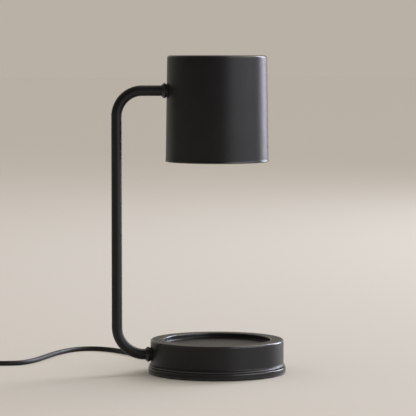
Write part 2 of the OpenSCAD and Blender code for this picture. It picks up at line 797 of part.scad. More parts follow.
module bulb_capsule() {
    capsule_r = 4.5;
    top = glass_top_z - 4 - fit;
    color([0.9, 0.9, 0.92, 0.5]) translate([0, 0, top - 24]) {
        translate([0, 0, capsule_r]) cylinder(r = capsule_r, h = 13);
        translate([0, 0, capsule_r]) sphere(r = capsule_r);
        translate([-3.4, -1.4, 17]) cube([6.8, 2.8, 7]);
    }
}

// ---- Cord ----

gland_tip = along(gland_turn, gland_tip_x, gland_z);
gland_way = along(gland_turn, 1, 0);
away_way = along(away_turn, 1, 0);

// From the gland down to the table, in a wide bend behind the lamp, and up into the dimmer
lamp_route = concat([gland_tip, gland_tip + 7 * gland_way], [
    [-46, 97, 12.6], [-51, 108, 8], [-56, 118, 4], [-61, 127, 2.4], [-67, 138, cord_r], [-73, 150, cord_r],
    [-79, 161, cord_r], [-86, 171, cord_r], [-95, 179.5, cord_r], [-106, 184, cord_r], [-117, 182, cord_r],
    [-127, 174, cord_r], [-136, 162, cord_r], [-144, 148, cord_r], [-151, 133, cord_r], [-158, 117, cord_r],
    [-165, 101.5, cord_r], [-172, 89.5, cord_r], [-181, 79.5, cord_r], [-193, 76.5, cord_r],
    [-206, 78.5, 2.8]],
    [away_at + [0, 0, cord_z] - 8 * away_way, away_at + [0, 0, cord_z]]);

// In the put-away frame: from the dimmer down to the table and into the coil
lead_route = [[boot_out_x, 0, cord_z], [boot_out_x + 6, 0, cord_z - 0.6], [boot_out_x + 14, 0, 5.2],
    [boot_out_x + 22, 0, 3.6], [coil_x - cord_d, 0, coil_low_z]];

// In the put-away frame: off the coil, down to the table and up into the plug
tail_route = [[coil_x - cord_d, plug_y, coil_high_z], [coil_x - 14, plug_y, 7.4],
    [coil_x - 24, plug_y, 5.4], [coil_x - 34, plug_y, 4.6], [coil_x - 43, plug_y, 5.2],
    [plug_back_x + plug_boot_l + 6, plug_y, 6.4],
    [plug_back_x + plug_boot_l, plug_y, plug_z]];

// The coil spirals in on the table, climbs a layer where it reverses, and spirals out again.
function coil_point(a) =
    let (from_middle = a - coil_sweep / 2,
        r = coil_r_at(from_middle),
        climb = min(max((from_middle + 90) / 180, 0), 1),
        z = coil_low_z + coil_pitch * climb * climb * (3 - 2 * climb))
    [coil_x + r * cos(a - 90), coil_y + r * sin(a - 90), z];
coil_step = 15;
coil_path = concat([[coil_x - cord_d, 0, coil_low_z]],
    [for (a = [0 : coil_step : coil_sweep]) coil_point(a)],
    [[coil_x - cord_d, plug_y, coil_high_z]]);

half_turn = 180 / coil_step;
coil_least = min([for (i = [0 : len(coil_path) - 1], j = [i + half_turn : 1 : len(coil_path) - 1])
    norm(coil_path[i] - coil_path[j])]) - cord_d;
function length(p) = len(p) < 2 ? 0 : norm(p[1] - p[0]) + length([for (i = [1 : len(p) - 1]) p[i]]);
echo(coil_least_gap = coil_least);
echo(lamp_side_length = length(spline(lamp_route, 4)), lead_length = length(spline(lead_route, 4)),
    coil_length = length(coil_path), tail_length = length(spline(tail_route, 4)));

module cord_to_dimmer() {
    color(black_plastic) sweep(lamp_route, cord_r, 10, start = gland_way, end = away_way);
}

module cord_to_coil() {
    color(black_plastic) put_away() sweep(lead_route, cord_r, 10, start = [1, 0, 0], end = [1, 0, 0]);
}

module cord_coil() {
    color(black_plastic) put_away() sweep(coil_path, cord_r, 6, start = [1, 0, 0], end = [-1, 0, 0]);
}

module cord_to_plug() {
    color(black_plastic) put_away() sweep(tail_route, cord_r, 10, start = [-1, 0, 0], end = [-1, 0, 0]);
}

// A strap round the bundle of turns, on the side of the coil away from the dimmer
module cord_tie() {
    tie_w = 7;
    in_r = coil_r - cord_r - 0.8;
    out_r = coil_out_r + cord_r + 0.8;
    high = coil_low_z + coil_pitch + cord_r + 0.3;
    corner = 2;
    function box(x0, x1, z0, z1, r) = concat(arc(x1 - r, z1 - r, r, 0, 90), arc(x0 + r, z1 - r, r, 90, 180),
        arc(x0 + r, z0 + r, r, 180, 270), arc(x1 - r, z0 + r, r, 270, 360));
    color([0.12, 0.12, 0.12]) put_away() translate([coil_x, coil_y - tie_w / -2, 0]) rotate([90, 0, 0])
        linear_extrude(height = tie_w) difference() {
            polygon(box(in_r - tie_t, out_r + tie_t, 0, high + tie_t, corner));
            polygon(box(in_r, out_r, tie_t, high, corner - tie_t));
        }
}

// ---- Dimmer on the cord ----

// A block with round upright corners; its +Z face has rounded long edges of radius edge_r
module soft_block(l, w, h, corner_r, edge_r) {
    intersection() {
        linear_extrude(height = h) polygon(concat(
            arc(l - corner_r, w / 2 - corner_r, corner_r, 0, 90),
            arc(corner_r, w / 2 - corner_r, corner_r, 90, 180),
            arc(corner_r, corner_r - w / 2, corner_r, 180, 270),
            arc(l - corner_r, corner_r - w / 2, corner_r, 270, 360)));
        translate([-1, 0, 0]) rotate([90, 0, 90]) linear_extrude(height = l + 2) polygon(concat(
            [[-w / 2 - 1, -1], [w / 2 + 1, -1]], arc(w / 2 - edge_r, h - edge_r, edge_r, 0, 90, 4),
            arc(edge_r - w / 2, h - edge_r, edge_r, 90, 180, 4)));
    }
}

case_corner_r = 7;
case_screw_x = [case_x + 9, case_x + case_l - 9];
case_screw_y = case_w / 2 - 5;
case_boss_r = 3;
case_screw_r = 1;
case_head_r = 2.1;
case_head_t = 1.4;
case_head_z = 0.6;

module at_case_screws(z) {
    for (x = case_screw_x, side = [-1, 1]) translate([x, side * case_screw_y, z]) children();
}

// One half of the case as a cup that is open at z = 0 and h deep
module case_half(h, edge_r) {
    difference() {
        translate([case_x, 0, 0]) soft_block(case_l, case_w, h, case_corner_r, edge_r);
        difference() {
            translate([case_x + case_t, 0, -1]) soft_block(case_l - 2 * case_t, case_w - 2 * case_t,
                h + 1 - case_t, case_corner_r - case_t, 1);
            at_case_screws(-2) cylinder(r = case_boss_r, h = h + 2);
        }
        // Neck holes for the cord boots
        translate([case_x - 1, 0, 0]) rotate([0, 90, 0]) cylinder(r = boot_neck_r + fit, h = case_l + 2);
    }
}

module dimmer_case_bottom() {
    color(black_plastic) put_away() difference() {
        translate([0, 0, cord_z]) mirror([0, 0, 1]) case_half(cord_z, 1.5);
        at_case_screws(-1) cylinder(r = case_screw_r + 2 * fit, h = cord_z + 2);
        at_case_screws(-1) cylinder(r = case_head_r + 2 * fit, h = 1 + case_head_z + case_head_t);
    }
}

module dimmer_case_top() {
    color(black_plastic) put_away() difference() {
        translate([0, 0, cord_z]) case_half(case_h - cord_z, 2.5);
        // Slot for the thumb wheel
        translate([wheel_x, wheel_y, wheel_z - 0.4]) cylinder(r = wheel_d / 2 + 0.5, h = wheel_t + 0.8);
        at_case_screws(cord_z) pilot_hole(case_screw_r, 4);
    }
}

module dimmer_screws() {
    color(steel) put_away() at_case_screws(0) {
        translate([0, 0, case_head_z]) cylinder(r = case_head_r, h = case_head_t);
        translate([0, 0, case_head_z + case_head_t - cut]) cylinder(r = case_screw_r, h = cord_z + 1);
    }
}

module dimmer_wheel() {
    teeth = 40;
    outline = [for (i = [0 : 2 * teeth - 1]) let (a = 180 * i / teeth, r = wheel_d / 2 - (i % 2) * 0.6)
        [r * cos(a), r * sin(a)]];
    color([0.16, 0.16, 0.16]) put_away() translate([wheel_x, wheel_y, wheel_z]) difference() {
        linear_extrude(height = wheel_t) polygon(outline);
        translate([0, 0, -1]) cylinder(r = post_r + fit / 2, h = wheel_t + 2);
    }
}

module dimmer_pot() {
    pot_w = 13;
    color(steel) put_away() translate([wheel_x, wheel_y, board_z + board_t]) {
        translate([-pot_w / 2, -pot_w / 2, 0]) cube([pot_w, pot_w, wheel_z - board_z - board_t - 0.4]);
        cylinder(r = post_r, h = wheel_z + wheel_t - board_z - board_t - 0.2);
    }
}

module dimmer_board() {
    side_room = 3;
    end_room = 13;
    color([0.1, 0.35, 0.2]) put_away() translate([case_x + end_room, side_room - case_w / 2, board_z])
        cube([case_l - 2 * end_room, case_w - 2 * side_room, board_t]);
}

// Strain relief at one end of the dimmer: a cone outside the case and a lip inside it. It points along -Z.
module boot() {
    tip_r = cord_r + 0.6;
    lip_t = 1.9;
    lip_at = case_t + fit;
    color(black_plastic) rotate_extrude() polygon([
        [cord_r + thread_fit, -boot_l], [tip_r, -boot_l], [tip_r + 0.2, -boot_l + 2],
        [boot_r, -0.5], [boot_r, 0], [boot_neck_r, 0], [boot_neck_r, lip_at], [boot_r, lip_at],
        [boot_r, lip_at + lip_t], [cord_r + thread_fit, lip_at + lip_t]]);
}

module dimmer_boot_in() {
    put_away() translate([case_x, 0, cord_z]) rotate([0, 90, 0]) boot();
}

module dimmer_boot_out() {
    put_away() translate([case_x + case_l, 0, cord_z]) rotate([0, -90, 0]) boot();
}

// ---- Plug ----

pin_r = pin_d / 2;
pin_tip_l = 1;
sleeve_l = 10;
sleeve_r = pin_r - 0.3;
sleeve_t = 0.4;
core_r = sleeve_r - sleeve_t - thread_fit;
anchor_r = sleeve_r;
anchor_l = 8;

// Places its child at the tip of each pin, with +Z running along the pin into the plug.
module at_pins() {
    put_away() for (side = [-1, 1]) translate([plug_x, plug_y + side * pin_gap / 2, plug_z])
        rotate([0, 90, 0]) children();
}

// One round end of the plug's outline, x mm from its face and w mm across in all
module plug_end(x, w, r, l) {
    for (side = [-1, 1]) translate([plug_x + pin_l + x, plug_y + side * (w / 2 - r), plug_z])
        rotate([0, 90, 0]) cylinder(r = r, h = l, $fn = 32);
}

module plug_body() {
    face_l = 7;
    grip_w = 15;
    grip_l = 8;
    color(black_plastic) difference() {
        put_away() hull() {
            plug_end(0, plug_w, plug_t / 2, face_l);
            plug_end(plug_l - grip_l, grip_w, 5.5, grip_l);
        }
        at_pins() translate([0, 0, pin_l]) pilot_hole(anchor_r, anchor_l);
    }
}

module plug_boot() {
    root_r = 4.2;
    color(black_plastic) put_away() translate([plug_back_x, plug_y, plug_z]) rotate([0, 90, 0])
        cylinder(r1 = root_r, r2 = cord_r + 0.5, h = plug_boot_l);
}

module plug_sleeves() {
    color(black_plastic) at_pins() translate([0, 0, pin_l - sleeve_l])
        ring(sleeve_r, sleeve_r - sleeve_t, sleeve_l);
}

module plug_pins() {
    color(steel) at_pins() {
        cylinder(r1 = pin_r - 0.8, r2 = pin_r, h = pin_tip_l);
        translate([0, 0, pin_tip_l]) cylinder(r = pin_r, h = pin_l - sleeve_l - pin_tip_l);
        cylinder(r = core_r, h = pin_l + cut);
        translate([0, 0, pin_l]) cylinder(r = anchor_r, h = anchor_l);
    }
}

base_shell();
bottom_plate();
foot_pad();
counterweight();
plate_screws();
weight_screws();
terminal_block();
terminal_inserts();
terminal_screws();
cord_gland();
cord_inside();
mains_cores();
arm_tube();
lower_collar();
lower_saddle();
lower_lock_washer();
lower_nut();
upper_collar();
stop_washer();
spring_washer();
upper_nut();
live_wire();
neutral_wire();
shade();
pivot_bush();
lamp_bracket();
friction_washer();
lampholder();
lampholder_contacts();
lampholder_screws();
head_leads();
bulb_reflector();
bulb_lens();
bulb_base();
bulb_pins();
bulb_capsule();
cord_to_dimmer();
cord_to_coil();
cord_coil();
cord_to_plug();
cord_tie();
dimmer_case_bottom();
dimmer_case_top();
dimmer_screws();
dimmer_wheel();
dimmer_pot();
dimmer_board();
dimmer_boot_in();
dimmer_boot_out();
plug_body();
plug_boot();
plug_sleeves();
plug_pins();
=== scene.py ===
"""Candle warmer lamp: the looks of every piece, laid out as an add-on with one operator for each group of pieces.

Lengths are millimetres where a name or a comment doesn't say otherwise, and become metres through MM.
"""

import json
import math
from contextlib import contextmanager

import bmesh
import bpy
from bpy.props import FloatProperty, FloatVectorProperty, IntProperty, PointerProperty
from mathutils import Matrix, Vector


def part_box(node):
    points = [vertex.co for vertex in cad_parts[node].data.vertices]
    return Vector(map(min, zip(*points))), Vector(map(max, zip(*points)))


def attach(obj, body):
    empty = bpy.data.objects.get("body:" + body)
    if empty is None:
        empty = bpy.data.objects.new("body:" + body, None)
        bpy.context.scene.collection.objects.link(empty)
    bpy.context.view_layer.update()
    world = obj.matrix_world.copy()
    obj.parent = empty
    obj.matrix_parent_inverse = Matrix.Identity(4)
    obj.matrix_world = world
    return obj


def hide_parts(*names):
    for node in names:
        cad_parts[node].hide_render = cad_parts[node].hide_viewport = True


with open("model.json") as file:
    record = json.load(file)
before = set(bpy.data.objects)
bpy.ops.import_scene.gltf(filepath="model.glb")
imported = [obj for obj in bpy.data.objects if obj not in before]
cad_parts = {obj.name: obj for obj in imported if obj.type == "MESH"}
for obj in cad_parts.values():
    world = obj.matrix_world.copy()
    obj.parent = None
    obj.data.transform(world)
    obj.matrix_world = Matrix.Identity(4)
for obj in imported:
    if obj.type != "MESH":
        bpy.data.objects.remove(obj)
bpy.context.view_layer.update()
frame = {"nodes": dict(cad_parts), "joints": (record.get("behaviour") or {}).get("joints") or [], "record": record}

bl_info = {
    "name": "Candle warmer lamp",
    "version": (1, 0, 0),
    "blender": (4, 5, 0),
    "location": "View3D > Sidebar > Lamp",
    "description": "Builds the surfaces, cords, finishes and studio of a candle warmer lamp around its construction",
    "category": "Add Mesh",
}

MM = 0.001


# ---- Sizes that the construction gives ----


def box(node):
    """Lowest and highest corner of a node of the construction, in millimetres."""
    low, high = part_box(node)
    return low / MM, high / MM


JOINTS = {joint["name"]: joint for joint in frame["joints"]}
BASE_LOW, BASE_HIGH = box("base_shell")
PLATE_LOW, PLATE_HIGH = box("bottom_plate")
PAD_HIGH = box("foot_pad")[1]
SHADE_LOW, SHADE_HIGH = box("shade")
TUBE_LOW, TUBE_HIGH = box("arm_tube")
LOW_COLLAR = box("lower_collar")
TOP_COLLAR = box("upper_collar")
REFLECTOR = box("bulb_reflector")
LENS = box("bulb_lens")
CAPSULE = box("bulb_capsule")
TUBE_Z_TOP = JOINTS["head_tilt"]["pos_m"][2] / MM
TUBE_Z_LOW = (LOW_COLLAR[0].z + LOW_COLLAR[1].z) / 2


def linear(hexcode):
    """The linear colour of an sRGB hex value such as 1b1b1a."""
    shares = [int(hexcode[i : i + 2], 16) / 255 for i in (0, 2, 4)]
    return tuple(share / 12.92 if share <= 0.04045 else ((share + 0.055) / 1.055) ** 2.4 for share in shares)


def colour(name, description, hexcode):
    """A colour property with an sRGB hex value as its default."""
    text = {"name": name, "description": description}
    return FloatVectorProperty(**text, default=linear(hexcode), subtype="COLOR", min=0, max=1)


def size(name, description, millimetres):
    """A length property with its default in millimetres."""
    text = {"name": name, "description": description}
    return FloatProperty(**text, default=millimetres * MM, min=0, subtype="DISTANCE", unit="LENGTH")


class LampSizes(bpy.types.PropertyGroup):
    """Sizes of the sheet metal, the edges and the cord that can be changed within the construction."""

    base_wall: size("Base wall radius", "Radius of the base's upright side wall", 63)
    base_sheet: size("Base sheet", "Thickness of the base's pressed shell", 2.4)
    rim_edge: size("Rim edge", "Radius of the edge between the base's wall and its top", 1.6)
    dish: size("Dish radius", "Radius of the dish that the candle stands in", 50.5)
    dish_depth: size("Dish depth", "Depth of the dish below the base's top", 5)
    dish_edge: size("Dish edge", "Radius of the dish's upper edge", 1)
    dish_cove: size("Dish cove", "Radius where the dish's wall meets its floor", 1.6)
    shade_sheet: size("Shade sheet", "Thickness of the shade's sheet metal", 1.2)
    shade_edge: size("Shade edge", "Radius of the shade's top edge", 2)
    shade_taper: size("Shade taper", "How much smaller the shade's radius is at its top", 1.5)
    hem: size("Shade hem", "Height of the folded hem at the shade's lower rim", 2.6)
    tube: size("Tube diameter", "Outer diameter of the bent tube", 10)
    tube_sheet: size("Tube wall", "Wall thickness of the bent tube", 1)
    cord: size("Cord diameter", "Diameter of the round mains cord", 4.6)
    case_edge: size("Dimmer edge", "Radius of the long edges on the dimmer's upper half", 2.5)
    round_steps: IntProperty(
        name="Round steps", description="Number of faces round the base and the shade", default=160, min=48, max=360
    )


class LampColours(bpy.types.PropertyGroup):
    """Colours of the finishes that show."""

    coat: colour("Powder coat", "Satin black polyester powder coat on steel", "101011")
    coat_thin: colour("Coat at edges", "Where the coat lies thinner over an edge", "262627")
    cord: colour("Cord", "Soft black PVC of cord, boots and plug", "101011")
    nylon: colour("Nylon", "Black moulded nylon of washers, gland and dimmer case", "191919")
    pad: colour("Foot pad", "Black foam under the base", "1c1c1c")
    floor: colour("Floor", "Plain pale floor", "bfbab2")
    backdrop: colour("Backdrop", "Plain pale background", "b9b1a5")


# ---- Modelling helpers ----


def clear_selection():
    """Object mode with nothing selected."""
    if bpy.context.object and bpy.context.object.mode != "OBJECT":
        bpy.ops.object.mode_set(mode="OBJECT")
    bpy.ops.object.select_all(action="DESELECT")


def activate(piece):
    clear_selection()
    piece.select_set(True)
    bpy.context.view_layer.objects.active = piece


def begin(name, primitive, **settings):
    """Adds a mesh primitive with nothing else selected, puts its place into its mesh and names it."""
    clear_selection()
    getattr(bpy.ops.mesh, f"primitive_{primitive}_add")(**settings)
    piece = bpy.context.object
    piece.name = piece.data.name = name
    bpy.ops.object.transform_apply(location=True, rotation=True, scale=True)
    return piece


def block(name, centre, sides):
    """A box with three sides round a centre."""
    return begin(name, "cube", size=1, location=Vector(centre) * MM, scale=Vector(sides) * MM)


def rod(name, radius, length, centre, vertices=48, turned=(0, 0, 0)):
    """A cylinder round a centre, along Z or turned from it by some degrees."""
    shape = {"vertices": vertices, "radius": radius * MM, "depth": length * MM}
    rotation = [math.radians(turn) for turn in turned]
    return begin(name, "cylinder", **shape, location=Vector(centre) * MM, rotation=rotation)


def ring(name, radius, centre, vertices, turned, **settings):
    """A flat circle round a centre, turned from the level plane by some degrees."""
    place_of = {"location": Vector(centre) * MM, "rotation": [math.radians(turn) for turn in turned]}
    return begin(name, "circle", vertices=vertices, radius=radius * MM, **place_of, **settings)


@contextmanager
def editing(piece, mode="FACE", chosen="DESELECT"):
    """Edit mode on one piece in a select mode, with nothing or all of it selected at first."""
    activate(piece)
    bpy.ops.object.mode_set(mode="EDIT")
    bpy.ops.mesh.select_mode(type=mode)
    bpy.ops.mesh.select_all(action=chosen)
    yield
    bpy.ops.object.mode_set(mode="OBJECT")


def pick(piece, kind, test):
    """In edit mode, selects the verts, edges or faces that pass a test, and nothing else."""
    bpy.ops.mesh.select_all(action="DESELECT")
    mesh = bmesh.from_edit_mesh(piece.data)
    for item in getattr(mesh, kind):
        if test(item):
            item.select_set(True)
    mesh.select_flush_mode()
    bmesh.update_edit_mesh(piece.data)


def trace(points):
    """In edit mode, shrinks a piece to one corner and extrudes it along points of (x, y, z)."""
    bpy.ops.mesh.select_all(action="SELECT")
    bpy.ops.mesh.merge(type="CENTER")
    bpy.ops.transform.translate(value=tuple(value * MM for value in points[0]))
    for here, there in zip(points, points[1:]):
        step = tuple((end - start) * MM for start, end in zip(here, there))
        bpy.ops.mesh.extrude_vertices_move(TRANSFORM_OT_translate={"value": step})


def extrude(x, y, z):
    """In edit mode, extrudes what is selected by three lengths."""
    bpy.ops.mesh.extrude_region_move(TRANSFORM_OT_translate={"value": (x * MM, y * MM, z * MM)})


def upright(edge):
    """Whether an edge stands along Z."""
    return abs(edge.verts[0].co.z - edge.verts[1].co.z) > 0.1 * MM


def close_up():
    """In edit mode, joins all that meets and turns the faces outwards."""
    bpy.ops.mesh.select_all(action="SELECT")
    bpy.ops.mesh.remove_doubles(threshold=0.001 * MM)
    bpy.ops.mesh.normals_make_consistent(inside=False)


def modify(piece, kind, **settings):
    """Adds a modifier with its settings and applies it."""
    modifier = piece.modifiers.new(kind.title(), kind)
    for key, value in settings.items():
        setattr(modifier, key, value)
    activate(piece)
    bpy.ops.object.modifier_apply(modifier=modifier.name)


def cut(piece, cutter):
    """Takes the cutter's space out of a piece and removes the cutter."""
    modify(piece, "BOOLEAN", object=cutter, operation="DIFFERENCE", solver="EXACT")
    bpy.data.objects.remove(cutter)


def drill(piece, at, turn, radius, length):
    """Cuts a level hole into a piece, centred at a point, its axis turned from +X by some degrees."""
    cut(piece, rod("drill", radius, length, at, 64, (0, 90, turn)))


def place(piece, matrix):
    """Moves a piece's mesh by a matrix in metres."""
    piece.matrix_world = matrix
    activate(piece)
    bpy.ops.object.transform_apply(location=True, rotation=True, scale=True)


def arc(x, z, radius, start, end, steps=6):
    """Points on an arc in the plane of radius and height, with its angles in degrees."""
    turns = [math.radians(start + (end - start) * step / steps) for step in range(steps + 1)]
    return [(x + radius * math.cos(turn), z + radius * math.sin(turn)) for turn in turns]


def lathe(name, outline, steps):
    """Spins an outline of (radius, height) round Z into a closed piece."""
    piece = begin(name, "plane", size=MM)
    with editing(piece, "VERT"):
        trace([(radius, 0, height) for radius, height in outline])
        bpy.ops.mesh.select_all(action="SELECT")
        bpy.ops.mesh.spin(steps=steps, angle=math.tau, center=(0, 0, 0), axis=(0, 0, 1))
        close_up()
    return piece


# Curvatures, in turns of one radian for each millimetre, at which wear begins and is full
WEAR_FROM, WEAR_FULL = 0.1, 0.7


def mark_wear(piece, outline):
    """Stores how sharply the outline turns outwards at each vertex, from 0 to 1, where a coat thins and wears."""
    sharp = {}
    area = sum(here[0] * there[1] - there[0] * here[1] for here, there in zip(outline, [*outline[1:], outline[0]]))
    for before, here, after in zip(outline, outline[1:], outline[2:]):
        way_in = Vector((here[0] - before[0], here[1] - before[1]))
        way_out = Vector((after[0] - here[0], after[1] - here[1]))
        turn = math.atan2(way_in.cross(way_out), way_in.dot(way_out))
        outwards = turn * math.copysign(1, area) / max((way_in.length + way_out.length) / 2, 0.1)
        sharp[round(here[0], 2), round(here[1], 2)] = outwards
    layer = piece.data.attributes.new("edge_wear", "FLOAT", "POINT")
    for vertex in piece.data.vertices:
        radius = math.hypot(vertex.co.x, vertex.co.y) / MM
        turn = sharp.get((round(radius, 2), round(vertex.co.z / MM, 2)), 0)
        layer.data[vertex.index].value = min(max((turn - WEAR_FROM) / (WEAR_FULL - WEAR_FROM), 0), 1)


def complete(piece, body, slot, replaced=(), angle=32):
    """Smooths a finished piece, gives it its finish and has it ride on its body in place of what it replaces."""
    activate(piece)
    bpy.ops.object.transform_apply(location=True, rotation=True, scale=True)
    bpy.ops.object.shade_smooth_by_angle(angle=math.radians(angle))
    dress(piece, body, slot, replaced)


def dress(piece, body, slot, replaced=()):
    piece.data.materials.clear()
    piece.data.materials.append(finish(slot))
    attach(piece, body)
    if replaced:
        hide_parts(*replaced)


# ---- Finishes ----


def add(near, kind, links=None, **settings):
    """Adds a node to a tree, or to that of a node or socket, with its settings, and with links that give its
    inputs by name: a socket or a value."""
    tree = near.id_data
    made = tree.nodes.new("ShaderNode" + kind)
    for key, value in settings.items():
        setattr(made, key, value)
    for key, value in (links or {}).items():
        if isinstance(value, bpy.types.NodeSocket):
            tree.links.new(value, made.inputs[key])
        else:
            made.inputs[key].default_value = value
    return made


def solid(tone):
    """What a node takes as a colour: a socket, or an sRGB hex value or a linear colour with its alpha added."""
    if isinstance(tone, bpy.types.NodeSocket):
        return tone
    return (*(linear(tone) if isinstance(tone, str) else tone), 1)


def link(socket, shader, name):
    """Links a socket into one of a shader's inputs."""
    shader.id_data.links.new(socket, shader.inputs[name])


def surface(name, **shader):
    """A new material with its shader node and the coordinates of its object."""
    material = bpy.data.materials.new(name)
    material.use_nodes = True
    tree = material.node_tree
    tree.nodes.clear()
    principled = add(tree, "BsdfPrincipled", {key.replace("_", " "): value for key, value in shader.items()})
    add(tree, "OutputMaterial", {"Surface": principled.outputs["BSDF"]})
    return material, principled, add(tree, "TexCoord").outputs["Object"]


def grain(where, size_mm, detail=3):
    """Noise with grains of about that size."""
    return add(where, "TexNoise", {"Vector": where, "Scale": 1 / (size_mm * MM), "Detail": detail}).outputs["Fac"]


def spread(value, low, high, start=0.3, end=0.7):
    """A value stretched to run from low to high."""
    links = {"Value": value, "From Min": start, "From Max": end, "To Min": low, "To Max": high}
    return add(value, "MapRange", links).outputs["Result"]


def reckon(operation, *values, **settings):
    """What a math node makes of its values, each a number or a socket and the first one a socket."""
    return add(values[0], "Math", dict(enumerate(values)), operation=operation, **settings).outputs[0]


def blend_colours(share, first, second):
    """A colour between two, by a share from 0 to 1."""
    links = {"Factor": share, 6: solid(first), 7: solid(second)}
    return add(share, "Mix", links, data_type="RGBA").outputs[2]


def colour_by(shader, share, first, second):
    """Gives a shader a colour between two, by a share from 0 to 1."""
    link(blend_colours(share, first, second), shader, "Base Color")


def dull_by(shader, value, low, high, *span):
    """Gives a shader a roughness from low to high, by a value."""
    link(spread(value, low, high, *span), shader, "Roughness")


def bumps(shader, height, depth_mm, under=None):
    """Gives a shader bumps of that depth, on top of bumps that it may have already."""
    links = {"Height": height, "Distance": depth_mm * MM, "Strength": 1.0}
    if under:
        links["Normal"] = under
    normal = add(shader, "Bump", links).outputs["Normal"]
    link(normal, shader, "Normal")
    return normal


def mottled(name, tones, dullness, relief=None, **values):
    """A material with two tones and a roughness from low to high, each with its grain, and with bumps of
    some depth, grain and detail."""
    material, shader, where = surface(name, **values)
    first, second, tone_grain = tones
    colour_by(shader, grain(where, tone_grain), first, second)
    low, high, dull_grain = dullness
    dull_by(shader, grain(where, dull_grain), low, high)
    if relief:
        depth, *pattern = relief
        bumps(shader, grain(where, *pattern), depth)
    return material


def powder_coat():
    """Polyester powder coat, sprayed and baked on steel: satin black with a fine orange peel, thinner over edges."""
    colours = bpy.context.scene.lamp_colours
    material, shader, where = surface("Satin black powder coat")
    wear = add(where, "Attribute", attribute_name="edge_wear").outputs["Fac"]
    link(spread(wear, 0.3, 0.8, 0, 1), shader, "Specular IOR Level")
    patches = grain(where, 24)
    worn = reckon("MULTIPLY", wear, spread(patches, 0.15, 0.9))
    share = reckon("ADD", worn, spread(patches, 0, 0.16), use_clamp=True)
    colour_by(shader, share, colours.coat, colours.coat_thin)
    dull = spread(grain(where, 1.5), 0.34, 0.44)
    link(reckon("MULTIPLY_ADD", wear, -0.22, dull), shader, "Roughness")
    # The peel of a sprayed coat is 0.5 to 1 mm across. It is drawn at 1.3 mm so that it shows.
    peel = bumps(shader, grain(where, 1.3, 1), 0.012)
    bumps(shader, grain(where, 14, 1), 0.05, peel)
    return material


def pad_foam():
    """Closed-cell EVA foam, die-cut: matt black with fine open pores on its cut face."""
    material, shader, where = surface("Die-cut EVA foam", Roughness=0.92)
    pores = add(where, "TexVoronoi", {"Vector": where, "Scale": 1 / (0.9 * MM)}).outputs["Distance"]
    colour_by(shader, grain(where, 6), bpy.context.scene.lamp_colours.pad, "262626")
    bumps(shader, pores, 0.2)
    return material


def cast_weight():
    """Grey iron, sand cast: dark, rough skin with the grit of the mould and a few rust-brown patches."""
    material, shader, where = surface("Sand-cast grey iron", Metallic=1.0)
    rust = spread(grain(where, 18), 0, 0.5, 0.5, 0.75)
    colour_by(shader, rust, "5a5b5c", "5c4a3d")
    dull_by(shader, grain(where, 3), 0.5, 0.75)
    bumps(shader, grain(where, 1.2, 5), 0.25)
    return material


def zinc_steel():
    """Steel, zinc plated in a barrel: bright blue-grey with a spangle of tones and fine handling scratches."""
    material, shader, where = surface("Bright zinc-plated steel", Metallic=1.0)
    spangle = add(where, "TexVoronoi", {"Vector": where, "Scale": 1 / (2.5 * MM)}).outputs["Color"]
    value = add(where, "SeparateColor", {"Color": spangle}).outputs["Red"]
    colour_by(shader, value, "b9bec4", "cfd1d2")
    dull_by(shader, grain(where, 4), 0.22, 0.38)
    along = add(where, "Mapping", {"Vector": where, "Scale": (1, 1, 14)}).outputs["Vector"]
    bumps(shader, grain(along, 3, 2), 0.01)
    return material


def brass():
    """CuZn39 brass, turned from bar: warm yellow with fine turning lines and a little tarnish."""
    material, shader, where = surface("Turned brass", Metallic=1.0)
    tarnish = spread(grain(where, 4), 0, 0.6)
    colour_by(shader, tarnish, "d9b45f", "a9803f")
    dull_by(shader, tarnish, 0.2, 0.4, 0, 0.6)
    lines = add(where, "TexWave", {"Vector": where, "Scale": 1 / (4 * MM), "Distortion": 0.2}, bands_direction="X")
    bumps(shader, lines.outputs["Fac"], 0.01)
    return material


def white_nylon():
    """Polyamide 66, injection moulded: warm translucent white, slightly glossy."""
    glow = {"Subsurface_Weight": 0.15, "Subsurface_Radius": (0.002, 0.0018, 0.0014)}
    return mottled("Moulded natural nylon", ("e6e3d6", "d9d4c3", 8), (0.35, 0.5, 1), (0.01, 2), **glow)


def cord_pvc():
    """Soft PVC, extruded over the cord and moulded on the plug: satin black with faint lay marks and dust."""
    material, shader, where = surface("Soft black PVC", Specular_IOR_Level=0.4)
    dust = spread(grain(where, 16), 0, 0.5, 0.45, 0.8)
    colour_by(shader, dust, bpy.context.scene.lamp_colours.cord, "20201f")
    dull_by(shader, grain(where, 2.5), 0.42, 0.56)
    fine = bumps(shader, grain(where, 0.9, 2), 0.015)
    bumps(shader, grain(where, 7, 1), 0.06, fine)
    return material


def black_nylon():
    """Glass-filled polyamide, moulded in a spark-eroded tool: matt black with an even fine texture."""
    material, shader, where = surface("Textured black nylon", Specular_IOR_Level=0.45)
    patches = spread(grain(where, 12), 0, 0.6)
    colour_by(shader, patches, bpy.context.scene.lamp_colours.nylon, "222222")
    dull_by(shader, grain(where, 3), 0.46, 0.58)
    # Spark erosion leaves pits of 0.1 mm. They are drawn at 0.6 mm so that they show.
    pits = add(where, "TexVoronoi", {"Vector": where, "Scale": 1 / (0.6 * MM)}, feature="SMOOTH_F1")
    bumps(shader, pits.outputs["Distance"], 0.03)
    return material


def wheel_plastic():
    """ABS, moulded in a polished tool: glossy dark grey, with a roughness that varies a little in patches."""
    return mottled("Polished black ABS", ("2b2b2c", "353536", 5), (0.2, 0.34, 2), (0.01, 3, 1))


# The two tones of the live core and of the neutral one
BROWN, BLUE = ("5b3220", "4a2818"), ("2c66b0", "23579b")


def core_insulation(name, tones):
    """PVC insulation, extruded on a core: soft sheen in the core's own colour."""
    return mottled(name, (*tones, 6), (0.36, 0.5, 2), (0.01, 1.2))


def brown_core():
    """PVC insulation, extruded: the live core's brown."""
    return core_insulation("Brown core insulation", BROWN)


